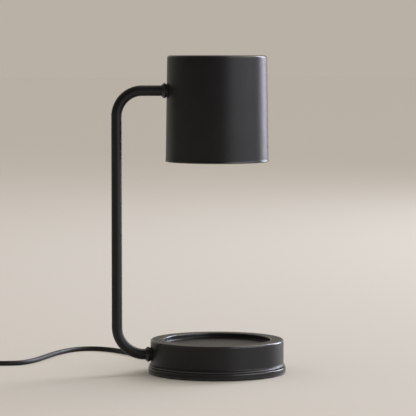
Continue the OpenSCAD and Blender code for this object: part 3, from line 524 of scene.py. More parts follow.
def blue_core():
    """PVC insulation, extruded: the neutral core's blue."""
    return core_insulation("Blue core insulation", BLUE)


def mains_core_pair():
    """PVC insulation, extruded: a brown core on the +Y side of the pair and a blue one on the other."""
    material = core_insulation("Brown and blue core insulation", BROWN)
    shader = next(made for made in material.node_tree.nodes if made.type == "BSDF_PRINCIPLED")
    brown = shader.inputs["Base Color"].links[0].from_socket
    where = add(shader, "TexCoord").outputs["Object"]
    across = add(shader, "SeparateXYZ", {"Vector": where}).outputs["Y"]
    colour_by(shader, reckon("GREATER_THAN", across, 0.0), BLUE[0], brown)
    return material


def ceramic():
    """Steatite, pressed, fired and glazed: cream white, glossy, with tiny pits in the glaze."""
    glaze = {"Coat_Weight": 0.5, "Coat_Roughness": 0.08}
    return mottled("Glazed steatite", ("ece8dd", "ddd7c6", 9), (0.25, 0.42, 3), (0.03, 1.4, 4), **glaze)


def reflector():
    """Pressed glass with an aluminium coating: a bright mirror that is faintly rippled."""
    tones = ("e4e5e7", "d5d7db", 10)
    return mottled("Aluminised pressed glass", tones, (0.07, 0.16, 5), (0.03, 6, 1), Metallic=1.0)


def lens_glass():
    """Borosilicate glass, pressed: clear and faintly wavy."""
    clear = {"IOR": 1.47, "Transmission_Weight": 1.0}
    return mottled("Pressed borosilicate glass", ("f4f7f7", "eaf0f0", 12), (0.02, 0.09, 6), (0.02, 4, 1), **clear)


def capsule_glass():
    """Quartz glass, blown and pinched: clear and faintly wavy."""
    clear = {"IOR": 1.46, "Transmission_Weight": 1.0}
    return mottled("Clear quartz glass", ("fbfbfb", "f0f1f2", 5), (0.01, 0.05, 3), (0.02, 3, 1), **clear)


def board():
    """FR4 laminate, etched and lacquered: deep green over a woven glass ground, with copper tracks under it."""
    material, shader, where = surface("Green lacquered FR4")
    brick = add(where, "TexBrick", {"Vector": where, "Scale": 1 / (9 * MM), "Mortar Size": 0.05}).outputs["Fac"]
    colour_by(shader, brick, "1c5a33", "2d7a49")
    dull_by(shader, grain(where, 2), 0.25, 0.4)
    bumps(shader, brick, 0.03)
    return material


def pin_nickel():
    """Brass, turned and nickel plated: warm bright grey with lengthwise rub marks."""
    return mottled("Nickel-plated brass", ("d3cdc2", "bfb8ac", 3), (0.16, 0.3, 2), (0.01, 1.5, 2), Metallic=1.0)


def tie_tape():
    """Nylon hook-and-loop tape, woven and brushed: matt black with a fuzzy weave of 1 mm."""
    woven = {"Roughness": 0.95, "Sheen_Weight": 0.35, "Sheen_Roughness": 0.5}
    material, shader, where = surface("Woven hook-and-loop tape", **woven)
    warp, weft = (
        add(where, "TexWave", {"Vector": where, "Scale": 1 / (6 * MM)}, bands_direction=axis).outputs["Fac"]
        for axis in "XY"
    )
    weave = reckon("MULTIPLY", warp, weft)
    colour_by(shader, weave, "1a1a1a", "2e2e2e")
    bumps(shader, reckon("ADD", weave, grain(where, 0.7)), 0.25)
    return material


def filament():
    """Tungsten, drawn and coiled: dark grey metal."""
    return mottled("Drawn tungsten wire", ("6d6b68", "8a8783", 1), (0.3, 0.5, 0.8), Metallic=1.0)


# Each finish has the name of its slot.
FINISHES = {
    make.__name__: make
    for make in (powder_coat, pad_foam, cast_weight, zinc_steel, brass, white_nylon, cord_pvc, black_nylon)
    + (wheel_plastic, brown_core, blue_core, mains_core_pair, ceramic, reflector, lens_glass, capsule_glass)
    + (board, pin_nickel, tie_tape, filament)
}
MADE_FINISHES = {}


def finish(slot):
    """The material of a slot, made the first time that it is asked for."""
    if slot not in MADE_FINISHES:
        MADE_FINISHES[slot] = FINISHES[slot]()
    return MADE_FINISHES[slot]


# ---- Camera and cords ----

CAMERA_AT = Vector((-298.8, -2363.1, 312.2))
CAMERA_TURN = 7
CAMERA_DIP = 3.746
CAMERA_LENS = 218.9


class LAMP_OT_camera(bpy.types.Operator):
    """Add the camera that looks at the lamp from its front, turned a little and a little from above"""

    bl_idname = "lamp.camera"
    bl_label = "Camera"

    def execute(self, context):
        turn, dip = math.radians(CAMERA_TURN), math.radians(CAMERA_DIP)
        way = Vector((math.sin(turn) * math.cos(dip), math.cos(turn) * math.cos(dip), -math.sin(dip)))
        clear_selection()
        bpy.ops.object.camera_add(location=CAMERA_AT * MM, rotation=way.to_track_quat("-Z", "Y").to_euler())
        camera = context.object
        camera.data.lens = CAMERA_LENS
        camera.data.clip_start = 0.1
        camera.data.clip_end = 100
        context.scene.camera = camera
        return {"FINISHED"}


# The cord leaves the base's back, lies on the table behind and beside the lamp, and is put away past the view.
GLAND_TURN = 115
GLAND_TIP = 86.8
GLAND_Z = 15
# How far the cord runs straight out of the gland, and into the dimmer
STRAIGHT, STRAIGHT_IN = 7, 8
AWAY_AT = Vector((-228, 83, 0))
AWAY_TURN = 173
LIES_AT = 2.3
# Height of the cord at both ends of the dimmer
CORD_Z = 8
CORD_INTO_BOOT = 3
BOOT_TIP_X = 104
COIL_START_X = 133.4
COIL_AT = Vector((138, 37.07))
COIL_R = 18
COIL_EASE = 30
COIL_PITCH = 5.2
COIL_TURNS = 7.5
COIL_LOW = 3.0
COIL_STEP = 15
CORD_STEPS = 6
PLUG_Y = 74.14
PLUG_Z = 6.8
PLUG_BOOT_TIP = 82


def level_way(turn):
    """The level direction at some degrees from +X."""
    return Vector((math.cos(math.radians(turn)), math.sin(math.radians(turn)), 0))


def away(x, y, z):
    """A point of the put-away end, whose own X runs along the dimmer and away from the lamp."""
    return AWAY_AT + x * level_way(AWAY_TURN) + y * level_way(AWAY_TURN + 90) + Vector((0, 0, z))


def away_matrix(x=0, y=0, z=0):
    """Turns and moves a piece that is modelled at 0 to a place in the put-away frame."""
    frame_of_end = Matrix.Translation(AWAY_AT * MM) @ Matrix.Rotation(math.radians(AWAY_TURN), 4, "Z")
    return frame_of_end @ Matrix.Translation(Vector((x, y, z)) * MM)


GLAND_POINT = GLAND_TIP * level_way(GLAND_TURN) + Vector((0, 0, GLAND_Z))
# The cord's way down from the gland, then its way on the table
DOWN = [(-46, 97, 12.6), (-51, 108, 8), (-56, 118, 4), (-61, 127, 2.4)]
ON_TABLE = [
    *[(-67, 138), (-73, 150), (-79, 161), (-86, 171), (-95, 179.5), (-106, 184), (-117, 182), (-127, 174)],
    *[(-136, 162), (-144, 148), (-151, 133), (-158, 117), (-165, 101.5), (-172, 89.5), (-181, 79.5), (-193, 76.5)],
]
LAMP_ROUTE = [
    GLAND_POINT,
    GLAND_POINT + STRAIGHT * level_way(GLAND_TURN),
    *(Vector(at) for at in DOWN),
    *(Vector((*at, LIES_AT)) for at in ON_TABLE),
    Vector((-206, 78.5, 2.8)),
    away(-STRAIGHT_IN, 0, CORD_Z),
    away(0, 0, CORD_Z),
]
LEAD = [(BOOT_TIP_X, CORD_Z), (110, 7.4), (118, 5.2), (126, 3.6), (COIL_START_X, COIL_LOW)]
LEAD_ROUTE = [away(x, 0, z) for x, z in LEAD]
TAIL = [(COIL_START_X, 8.2), (124, 7.4), (114, 5.4), (104, 4.6), (95, 5.2), (88, 6.4), (PLUG_BOOT_TIP, PLUG_Z)]
TAIL_ROUTE = [away(x, PLUG_Y, z) for x, z in TAIL]


def coil_radius(from_middle):
    """The coil's radius at some degrees from the middle of its length, where it is least."""
    return COIL_R + COIL_PITCH * (math.hypot(from_middle, COIL_EASE) - COIL_EASE) / 360


def coil_point(angle):
    """A point of the coil: it spirals in on the table, climbs a layer where it reverses, and spirals out again."""
    from_middle = angle - 180 * COIL_TURNS
    radius = coil_radius(from_middle)
    climb = min(max((from_middle + 90) / 180, 0), 1)
    height = COIL_LOW + COIL_PITCH * climb * climb * (3 - 2 * climb)
    turned = math.radians(angle - 90)
    return away(COIL_AT.x + radius * math.cos(turned), COIL_AT.y + radius * math.sin(turned), height)


def cord_curve(name, points, diameter):
    """A round cord on one smooth curve through points."""
    data = bpy.data.curves.new(name, "CURVE")
    data.dimensions = "3D"
    data.bevel_depth = diameter / 2
    data.bevel_resolution = 3
    data.resolution_u = CORD_STEPS
    data.use_fill_caps = True
    spline = data.splines.new("BEZIER")
    spline.bezier_points.add(len(points) - 1)
    for i, (point, at) in enumerate(zip(spline.bezier_points, points)):
        reach = (points[min(i + 1, len(points) - 1)] - points[max(i - 1, 0)]) / 6
        point.co = at * MM
        point.handle_left_type = point.handle_right_type = "FREE"
        point.handle_left, point.handle_right = (at - reach) * MM, (at + reach) * MM
    piece = bpy.data.objects.new(name, data)
    bpy.context.scene.collection.objects.link(piece)
    return piece


class LAMP_OT_cords(bpy.types.Operator):
    """Lay the mains cord from the base to the dimmer, and from the dimmer through its coil to the plug"""

    bl_idname = "lamp.cords"
    bl_label = "Cords"

    def execute(self, context):
        diameter = context.scene.lamp_sizes.cord
        inside = CORD_INTO_BOOT * level_way(GLAND_TURN)
        lamp_points = [GLAND_POINT - inside, *LAMP_ROUTE, away(CORD_INTO_BOOT, 0, CORD_Z)]
        plug_points = [
            away(BOOT_TIP_X - CORD_INTO_BOOT, 0, CORD_Z),
            *LEAD_ROUTE,
            *(coil_point(angle) for angle in range(0, int(360 * COIL_TURNS) + 1, COIL_STEP)),
            *TAIL_ROUTE,
            away(PLUG_BOOT_TIP - CORD_INTO_BOOT, PLUG_Y, PLUG_Z),
        ]
        for name, points, replaced in [
            ("lamp_side_cord", lamp_points, ("cord_to_dimmer",)),
            ("plug_side_cord", plug_points, ("cord_to_coil", "cord_coil", "cord_to_plug")),
        ]:
            dress(cord_curve(name, points, diameter), "stand", "cord_pvc", replaced)
        return {"FINISHED"}


# ---- Base ----

FLARE_R = 3
LIP_H = 0.6
# How far the lip lies above the foot ring, and the skirt inside the wall
LIP_GAP, SKIRT_IN = 0.8, 1
# How far an edge loop lies from the round edge that it keeps sharp
SUPPORT = 0.5
PLAY = 0.1
GLAND_HOLE_R = 3.9
BUSH_HOLE_R = 6.1
HOLE_DEPTH = 8


class LAMP_OT_base(bpy.types.Operator):
    """Spin the base's shell with its dish, and the foot ring under it"""

    bl_idname = "lamp.base"
    bl_label = "Base"

    def execute(self, context):
        sizes = context.scene.lamp_sizes
        self.spin_shell(sizes)
        self.spin_ring(sizes)
        return {"FINISHED"}

    def spin_shell(self, sizes):
        wall, sheet, rim = sizes.base_wall / MM, sizes.base_sheet / MM, sizes.rim_edge / MM
        dish, edge, cove = sizes.dish / MM, sizes.dish_edge / MM, sizes.dish_cove / MM
        top, low = BASE_HIGH.z, BASE_LOW.z
        floor = top - sizes.dish_depth / MM
        lip, skirt = PLATE_HIGH.z + LIP_GAP, wall - SKIRT_IN
        flare = BASE_HIGH.x - wall
        flare_turn = math.degrees(math.acos(1 - flare / FLARE_R))
        flare_top = lip + LIP_H + FLARE_R * math.sin(math.radians(flare_turn))
        outline = [
            (0, floor),
            (dish - cove - SUPPORT, floor),
            *arc(dish - cove, floor + cove, cove, -90, 0),
            (dish, floor + cove + SUPPORT),
            (dish, top - edge - SUPPORT),
            *arc(dish + edge, top - edge, edge, 180, 90),
            (dish + edge + SUPPORT, top),
            (wall - rim - SUPPORT, top),
            *arc(wall - rim, top - rim, rim, 90, 0, 8),
            (wall, top - rim - SUPPORT),
            (wall, flare_top + SUPPORT),
            *arc(wall + FLARE_R, flare_top, FLARE_R, 180, 180 + flare_turn),
            (wall + flare, lip),
            (skirt, lip),
            (skirt, low),
            (wall - sheet, low),
            (wall - sheet, top - sheet),
            (dish + sheet, top - sheet),
            (dish + sheet, floor - sheet),
            (0, floor - sheet),
        ]
        shell = lathe("base_spun_shell", outline, sizes.round_steps)
        mark_wear(shell, outline)
        drill(shell, (-wall, 0, TUBE_Z_LOW), 0, sizes.tube / 2 / MM + PLAY, HOLE_DEPTH)
        gland_at = wall * level_way(GLAND_TURN) + Vector((0, 0, GLAND_Z))
        drill(shell, gland_at, GLAND_TURN, GLAND_HOLE_R, HOLE_DEPTH)
        complete(shell, "stand", "powder_coat", ["base_shell"])

    def spin_ring(self, sizes):
        low, high, out = PLATE_LOW.z, PLATE_HIGH.z, PLATE_HIGH.x
        skirt = sizes.base_wall / MM - SKIRT_IN + PLAY
        pad = PAD_HIGH.x + PLAY
        plate_top, plate_low = BASE_LOW.z, PAD_HIGH.z
        bottom_r, top_r = 1.5, 0.9
        outline = [
            (0, plate_low),
            (pad, plate_low),
            (pad, low),
            (out - bottom_r - SUPPORT, low),
            *arc(out - bottom_r, low + bottom_r, bottom_r, -90, 0),
            (out, low + bottom_r + SUPPORT),
            (out, high - top_r - SUPPORT),
            *arc(out - top_r, high - top_r, top_r, 0, 90),
            (skirt + 0.2, high),
            (skirt, high),
            (skirt, plate_top),
            (0, plate_top),
        ]
        ring = lathe("foot_ring_plate", outline, sizes.round_steps)
        mark_wear(ring, outline)
        complete(ring, "stand", "powder_coat", ["bottom_plate"])


# ---- Arm ----

TOP_BEND_R = 24
# How far the lower bend ends before its collar, and the tube past its nut
BEND_GAP, PAST_NUT = 0.4, 1


class LAMP_OT_arm(bpy.types.Operator):
    """Bend the tube of the arm and turn the collars on its ends"""

    bl_idname = "lamp.arm"
    bl_label = "Arm"

    def execute(self, context):
        sizes = context.scene.lamp_sizes
        self.bend_tube(sizes)
        self.turn_collars(sizes)
        return {"FINISHED"}

    def bend_tube(self, sizes):
        radius = sizes.tube / 2 / MM
        upright = TUBE_LOW.x + radius
        low_bend, top_bend = LOW_COLLAR[0].x - BEND_GAP - upright, TOP_BEND_R
        start = box("lower_nut")[1].x + PAST_NUT
        tube = ring("arm_bent_tube", radius, (start, 0, TUBE_Z_LOW), 48, (0, 90, 0))
        with editing(tube, "VERT", "SELECT"):
            extrude(upright + low_bend - start, 0, 0)
            self.bend(upright + low_bend, TUBE_Z_LOW + low_bend)
            extrude(0, 0, TUBE_Z_TOP - TUBE_Z_LOW - low_bend - top_bend)
            self.bend(upright + top_bend, TUBE_Z_TOP - top_bend)
            extrude(TUBE_HIGH.x - upright - top_bend, 0, 0)
            close_up()
        modify(tube, "SOLIDIFY", thickness=sizes.tube_sheet, offset=-1)
        complete(tube, "stand", "powder_coat", ["arm_tube"], 40)

    def bend(self, x, z):
        """Spins the open end of the tube a quarter turn about a centre."""
        centre = Vector((x, 0, z)) * MM
        bpy.ops.mesh.spin(steps=20, angle=-math.pi / 2, center=centre, axis=(0, 1, 0))

    def turn_collars(self, sizes):
        bore = sizes.tube / 2 / MM + 0.02
        for name, node, face_x, height in [
            ("lower_turned_collar", "lower_collar", LOW_COLLAR[1].x, TUBE_Z_LOW),
            ("upper_turned_collar", "upper_collar", TOP_COLLAR[1].x, TUBE_Z_TOP),
        ]:
            low, high = box(node)
            radius = (high.z - low.z) / 2
            flange, edge, cone = 2.4, 0.7, 1.1
            back = high.x - low.x
            outline = [
                (bore, 0),
                (radius - edge - 0.3, 0),
                *arc(radius - edge, -edge, edge, 90, 0),
                *arc(radius - edge, edge - flange, edge, 0, -90),
                (radius - edge - 0.3, -flange),
                *arc(bore + cone + 0.6, -flange - 0.6, 0.6, 90, 150, 4),
                (bore + cone / 2 + 0.2, 0.2 - back),
                (bore + cone / 2, -back),
                (bore, -back),
                (bore, 0),
            ]
            collar = lathe(name, outline, 64)
            mark_wear(collar, outline)
            turned = Matrix.Rotation(math.radians(90), 4, "Y")
            place(collar, Matrix.Translation(Vector((face_x, 0, height)) * MM) @ turned)
            complete(collar, "stand", "powder_coat", [node])


# ---- Shade ----


class LAMP_OT_shade(bpy.types.Operator):
    """Spin the shade with its rounded top edge and the hem folded in at its lower rim"""

    bl_idname = "lamp.shade"
    bl_label = "Shade"

    def execute(self, context):
        sizes = context.scene.lamp_sizes
        low, top, rim = SHADE_LOW.z, SHADE_HIGH.z, SHADE_HIGH.x
        sheet, edge, hem = sizes.shade_sheet / MM, sizes.shade_edge / MM, sizes.hem / MM
        top_r = rim - sizes.shade_taper / MM
        hem_t, fold, inside, bead = sheet * 1.7, 0.7, 0.8, 0.35

        def wall_at(z):
            return rim + (top_r - rim) * (z - low) / (top - low)

        outline = [
            (0, top),
            (top_r - edge - SUPPORT, top),
            *arc(top_r - edge, top - edge, edge, 90, 0, 10),
            (wall_at(top - edge - SUPPORT), top - edge - SUPPORT),
            # The folded hem stands out a little from the wall above it.
            (wall_at(low + hem + SUPPORT), low + hem + SUPPORT),
            (wall_at(low + hem), low + hem),
            (rim + bead * 0.3, low + hem - 0.5),
            (rim + bead, low + fold + 0.8),
            (rim + bead, low + fold + 0.3),
            *arc(rim + bead - fold, low + fold, fold, 0, -90),
            *arc(rim - hem_t + fold, low + fold, fold, -90, -180),
            (rim - hem_t, low + hem - 0.6),
            *arc(rim - hem_t + 0.5, low + hem - 0.5, 0.5, 180, 90, 4),
            (wall_at(low + hem) - sheet, low + hem),
            (wall_at(top - 2) - sheet, top - sheet - inside - SUPPORT),
            *arc(top_r - sheet - inside, top - sheet - inside, inside, 0, 90, 4),
            (0, top - sheet),
        ]
        shade = lathe("shade_spun_shell", outline, sizes.round_steps)
        mark_wear(shade, outline)
        wall_x = -wall_at(TUBE_Z_TOP)
        drill(shade, (wall_x, 0, TUBE_Z_TOP), 0, BUSH_HOLE_R, HOLE_DEPTH)
        if box("pivot_bush")[1].x > wall_x + HOLE_DEPTH:
            raise RuntimeError("the bush reaches past the hole that is cut for it")
        complete(shade, "head", "powder_coat", ["shade"])
        return {"FINISHED"}


# ---- Bulb ----

BULB_NECK = 8.9
LIP_BEND = 5
# How far the filament and its leads begin above the capsule's lowest point
WIRE_RISE = 5


class LAMP_OT_bulb(bpy.types.Operator):
    """Spin the bulb's faceted reflector, its pressed lens and the capsule with its filament"""

    bl_idname = "lamp.bulb"
    bl_label = "Bulb"

    def execute(self, context):
        self.spin_reflector()
        self.spin_lens()
        self.blow_capsule()
        return {"FINISHED"}

    def spin_reflector(self):
        low, top, lip = REFLECTOR[0].z, REFLECTOR[1].z, REFLECTOR[1].x
        glass, rows = 1.2, 9
        reach, drop = lip - 1.5 - BULB_NECK, top - low - LIP_BEND

        def bowl(share, inset):
            turn = math.radians(90 * share)
            return (
                BULB_NECK + reach * math.sin(turn) - inset,
                top - drop * (0.55 * (1 - math.cos(turn)) + 0.45 * share),
            )

        shares = [row / rows for row in range(rows + 1)]
        seat = LENS[1].z
        outline = [
            *[bowl(share, 0) for share in shares],
            *[(lip, low + 4), (lip, low + 0.6), (lip - 0.6, low), (lip - 2, low), (lip - 2, seat)],
            *[bowl(share, glass) for share in reversed(shares)],
            bowl(0, 0),
        ]
        # The facets of the pressed glass stay flat.
        complete(lathe("bulb_faceted_reflector", outline, 48), "bulb", "reflector", ["bulb_reflector"], 2)

    def spin_lens(self):
        low, top, radius = LENS[0].z, LENS[1].z, LENS[1].x
        dome, edge = 0.3, 0.4
        bulge = [(radius * 0.9 * k / 8, low - dome * (1 - (k / 8) ** 2)) for k in range(9)]
        outline = [*bulge, *arc(radius - edge, low + edge + 0.2, edge, -90, 0), (radius, top), (0, top)]
        complete(lathe("bulb_pressed_lens", outline, 96), "bulb", "lens_glass", ["bulb_lens"])

    def blow_capsule(self):
        low, radius = CAPSULE[0].z, 4.5
        shoulder, seal = low + radius + 11, low + 17
        outline = [
            (0, low),
            *arc(0.9, low + 0.5, 0.5, -90, 0, 4),
            *arc(0, low + radius, radius, -68, 0, 8),
            *arc(radius - 2.2, shoulder, 2.2, 0, 80, 6),
            (0, shoulder + 2.4),
        ]
        capsule = lathe("bulb_glass_capsule", outline, 48)
        modify(capsule, "SOLIDIFY", thickness=0.5 * MM, offset=-1)
        complete(capsule, "bulb", "capsule_glass", ["bulb_capsule"], 45)
        pinch = block("bulb_pinch_seal", (0, 0, seal + 3.5), (6.8, 2.8, 7))
        modify(pinch, "BEVEL", width=0.8 * MM, segments=4)
        complete(pinch, "bulb", "capsule_glass")
        coil = ring("bulb_filament", 0.12, (0.7, 0, low + WIRE_RISE), 8, (90, 0, 0))
        with editing(coil, "VERT", "SELECT"):
            bpy.ops.mesh.edge_face_add()
        modify(coil, "SCREW", angle=math.tau, screw_offset=0.6 * MM, iterations=9, steps=16, render_steps=16)
        with editing(coil, "VERT"):
            close_up()
        complete(coil, "bulb", "filament")
        height = seal - low - WIRE_RISE
        for side in (-1, 1):
            wire = rod("bulb_filament_lead", 0.2, height, (side * 1.6, 0, low + WIRE_RISE + height / 2), 12)
            complete(wire, "bulb", "filament")


# ---- Dimmer, in the put-away frame ----

CASE_X, CASE_L, CASE_W, CASE_H = 20, 64, 26, 16
CASE_SEAM, CASE_T, CASE_CORNER = 8, 1.6, 7
SCREW_X, SCREW_Y = (29, 75), (-8, 8)
WHEEL_X, WHEEL_Y, WHEEL_R, WHEEL_LOW, WHEEL_T = 52, 4, 12, 9.8, 4
SHAFT_R = 3
BOOT_L, BOOT_R, BOOT_TIP_R, BOOT_NECK_R, BOOT_LIP = 20, 3.9, 2.9, 2.9, 1.9
CORD_BORE = 2.32
SCREW_BORE_R, SCREW_BORE_L = 2.3, 4
# Room round the thumb wheel in its slot, beside it and over both its faces, and on its shaft
WHEEL_ROOM, FACE_ROOM, SHAFT_ROOM = 0.5, 0.4, 0.05
PANEL_IN, PANEL_DEEP, SEAM_EDGE = 1.6, 0.3, 0.3
MARK_Y, MARK_IN, MARK_STRETCH = 7, 0.2, (7, 0.9, 1)
# A boot's grooves: where they begin above its tip, the length without them, and their depth
RIBS, RIB_START, PLAIN_L, GROOVE = 6, 2.5, 6, 0.55


def ribbed_boot(name, length, root_r, tip_r, tail):
    """A soft strain relief along -Z from its root at 0: it narrows to its tip and has open grooves to bend at."""

    def wall_at(z):
        return root_r + (tip_r - root_r) * -z / length

    pitch = (length - PLAIN_L) / RIBS
    outline = [(tip_r - 0.4, -length), (tip_r, 0.4 - length)]
    for rib in range(RIBS):
        z = RIB_START - length + rib * pitch
        deep, half_way = wall_at(z) - GROOVE, z + pitch * 0.5
        outline += [(wall_at(z), z), (deep, z + 0.2), (deep, z + pitch * 0.42), (wall_at(half_way), half_way)]
    outline += [(root_r, -0.6), (root_r, 0), *tail]
    return lathe(name, [*outline, outline[0]] if outline[-1][0] else outline, 48)


class LAMP_OT_dimmer(bpy.types.Operator):
    """Model the dimmer's two case halves, its ribbed thumb wheel, its marks and the boots on its cord ends"""

    bl_idname = "lamp.dimmer"
    bl_label = "Dimmer"

    def execute(self, context):
        upper = self.half("dimmer_upper_half", CASE_SEAM, CASE_H, context.scene.lamp_sizes.case_edge)
        wheel_at = (WHEEL_X, WHEEL_Y, WHEEL_LOW + WHEEL_T / 2)
        cut(upper, rod("slot_cutter", WHEEL_R + WHEEL_ROOM, WHEEL_T + 2 * FACE_ROOM, wheel_at, 96))
        lower = self.half("dimmer_lower_half", CASE_SEAM, 0, 1.5 * MM)
        for x in SCREW_X:
            for y in SCREW_Y:
                cut(lower, rod("bore", SCREW_BORE_R, SCREW_BORE_L, (x, y, 0)))
        for piece, node in ((upper, "dimmer_case_top"), (lower, "dimmer_case_bottom")):
            drill(piece, (CASE_X + CASE_L / 2, 0, CASE_SEAM), 0, BOOT_NECK_R + PLAY, CASE_L + 2)
            place(piece, away_matrix())
            complete(piece, "stand", "black_nylon", [node])
        self.mark_level()
        self.rib_wheel()
        self.make_boots()
        return {"FINISHED"}

    def half(self, name, seam, far, edge):
        """One half of the case: a bevelled block, opened at its seam and given its wall."""
        centre = (CASE_X + CASE_L / 2, 0, (seam + far) / 2)
        piece = block(name, centre, (CASE_L, CASE_W, abs(far - seam)))

        def lies_at(z):
            return lambda item: all(abs(vertex.co.z / MM - z) < 0.01 for vertex in item.verts)

        with editing(piece, "EDGE"):
            for chosen, width, segments in (
                (upright, CASE_CORNER * MM, 8),
                (lies_at(far), edge, 5),
                (lies_at(seam), SEAM_EDGE * MM, 1),
            ):
                pick(piece, "edges", chosen)
                bpy.ops.mesh.bevel(offset=width, segments=segments, affect="EDGES")
            bpy.ops.mesh.select_mode(type="FACE")
            pick(piece, "faces", lies_at(seam))
            bpy.ops.mesh.delete(type="FACE")
            # A shallow panel is let into the flat face.
            pick(piece, "faces", lies_at(far))
            bpy.ops.mesh.inset(thickness=PANEL_IN * MM)
            bpy.ops.mesh.inset(thickness=PANEL_DEEP * MM, depth=-PANEL_DEEP * MM)
        modify(piece, "SOLIDIFY", thickness=CASE_T * MM, offset=-1, use_even_offset=True)
        return piece

    def mark_level(self):
        """A wedge on the case shows which way the light grows."""
        at = (WHEEL_X, MARK_Y, CASE_H - MARK_IN)
        mark = rod("dimmer_level_mark", 1, 0.3, at, 3, (0, 0, 30))
        with editing(mark, chosen="SELECT"):
            bpy.ops.transform.resize(value=MARK_STRETCH, center_override=[value * MM for value in at])
        place(mark, away_matrix())
        complete(mark, "stand", "white_nylon")

    def rib_wheel(self):
        teeth, deep = 40, 0.6
        middle_z, top_z = WHEEL_LOW + WHEEL_T / 2, WHEEL_LOW + WHEEL_T
        wheel = rod("thumb_wheel_ribbed", WHEEL_R, WHEEL_T, (0, 0, middle_z), 4 * teeth)

        def in_groove(vertex):
            return round(math.degrees(math.atan2(vertex.co.y, vertex.co.x)) * 4 * teeth / 360) % 4 < 2

        with editing(wheel, "VERT"):
            pick(wheel, "verts", in_groove)
            share = (WHEEL_R - deep) / WHEEL_R
            bpy.ops.transform.resize(value=(share, share, 1), center_override=(0, 0, 0))
            bpy.ops.mesh.select_mode(type="EDGE")
            pick(wheel, "edges", lambda edge: not upright(edge))
            bpy.ops.mesh.bevel(offset=0.3 * MM, segments=2, affect="EDGES")
        cut(wheel, rod("bore", SHAFT_R + SHAFT_ROOM, 40, (0, 0, 0)))
        dot = rod("thumb_wheel_dot", 0.6, 0.16, (0, WHEEL_R - 1.5, top_z), 32)
        for piece in (wheel, dot):
            place(piece, away_matrix(WHEEL_X, WHEEL_Y))
        complete(wheel, "thumb_wheel", "wheel_plastic", ["dimmer_wheel"])
        complete(dot, "thumb_wheel", "white_nylon")

    def make_boots(self):
        lip = CASE_T + PLAY
        tail = [
            *[(BOOT_NECK_R, 0), (BOOT_NECK_R, lip), (BOOT_R, lip)],
            *[(BOOT_R, lip + BOOT_LIP), (CORD_BORE, lip + BOOT_LIP), (CORD_BORE, -BOOT_L)],
        ]
        for node, x, side in (("dimmer_boot_in", CASE_X, 1), ("dimmer_boot_out", CASE_X + CASE_L, -1)):
            boot = ribbed_boot(node + "_ribbed", BOOT_L, BOOT_R, BOOT_TIP_R, tail)
            place(boot, away_matrix(x, 0, CASE_SEAM) @ Matrix.Rotation(math.radians(90 * side), 4, "Y"))
            complete(boot, "stand", "cord_pvc", [node])


# ---- Plug and tie, in the put-away frame ----

PLUG_FACE_X, PLUG_BACK_X = 28, 60
PLUG_BOOT_L, PLUG_BOOT_R, PLUG_BOOT_TIP_R = 22, 4.2, 2.8
# Sections of the plug's body: distance from its face, width and thickness
PLUG_SECTIONS = [
    *[(0, 33.6, 12.2), (0.3, 34.5, 13.1), (1, 35, 13.6), (7, 35, 13.6), (8.2, 33.8, 13.5), (11, 29.6, 13.1)],
    *[(15, 23.6, 12.5), (19, 18.6, 11.8), (22, 16, 11.2), (24, 15, 11), (24.4, 14, 10), (25.2, 14, 10)],
    *[(25.6, 15, 11), (27, 15, 11), (27.4, 14, 10), (28.2, 14, 10), (28.6, 15, 11), (30.8, 15, 11)],
    *[(31.6, 14.4, 10.4), (32, 13, 9)],
]


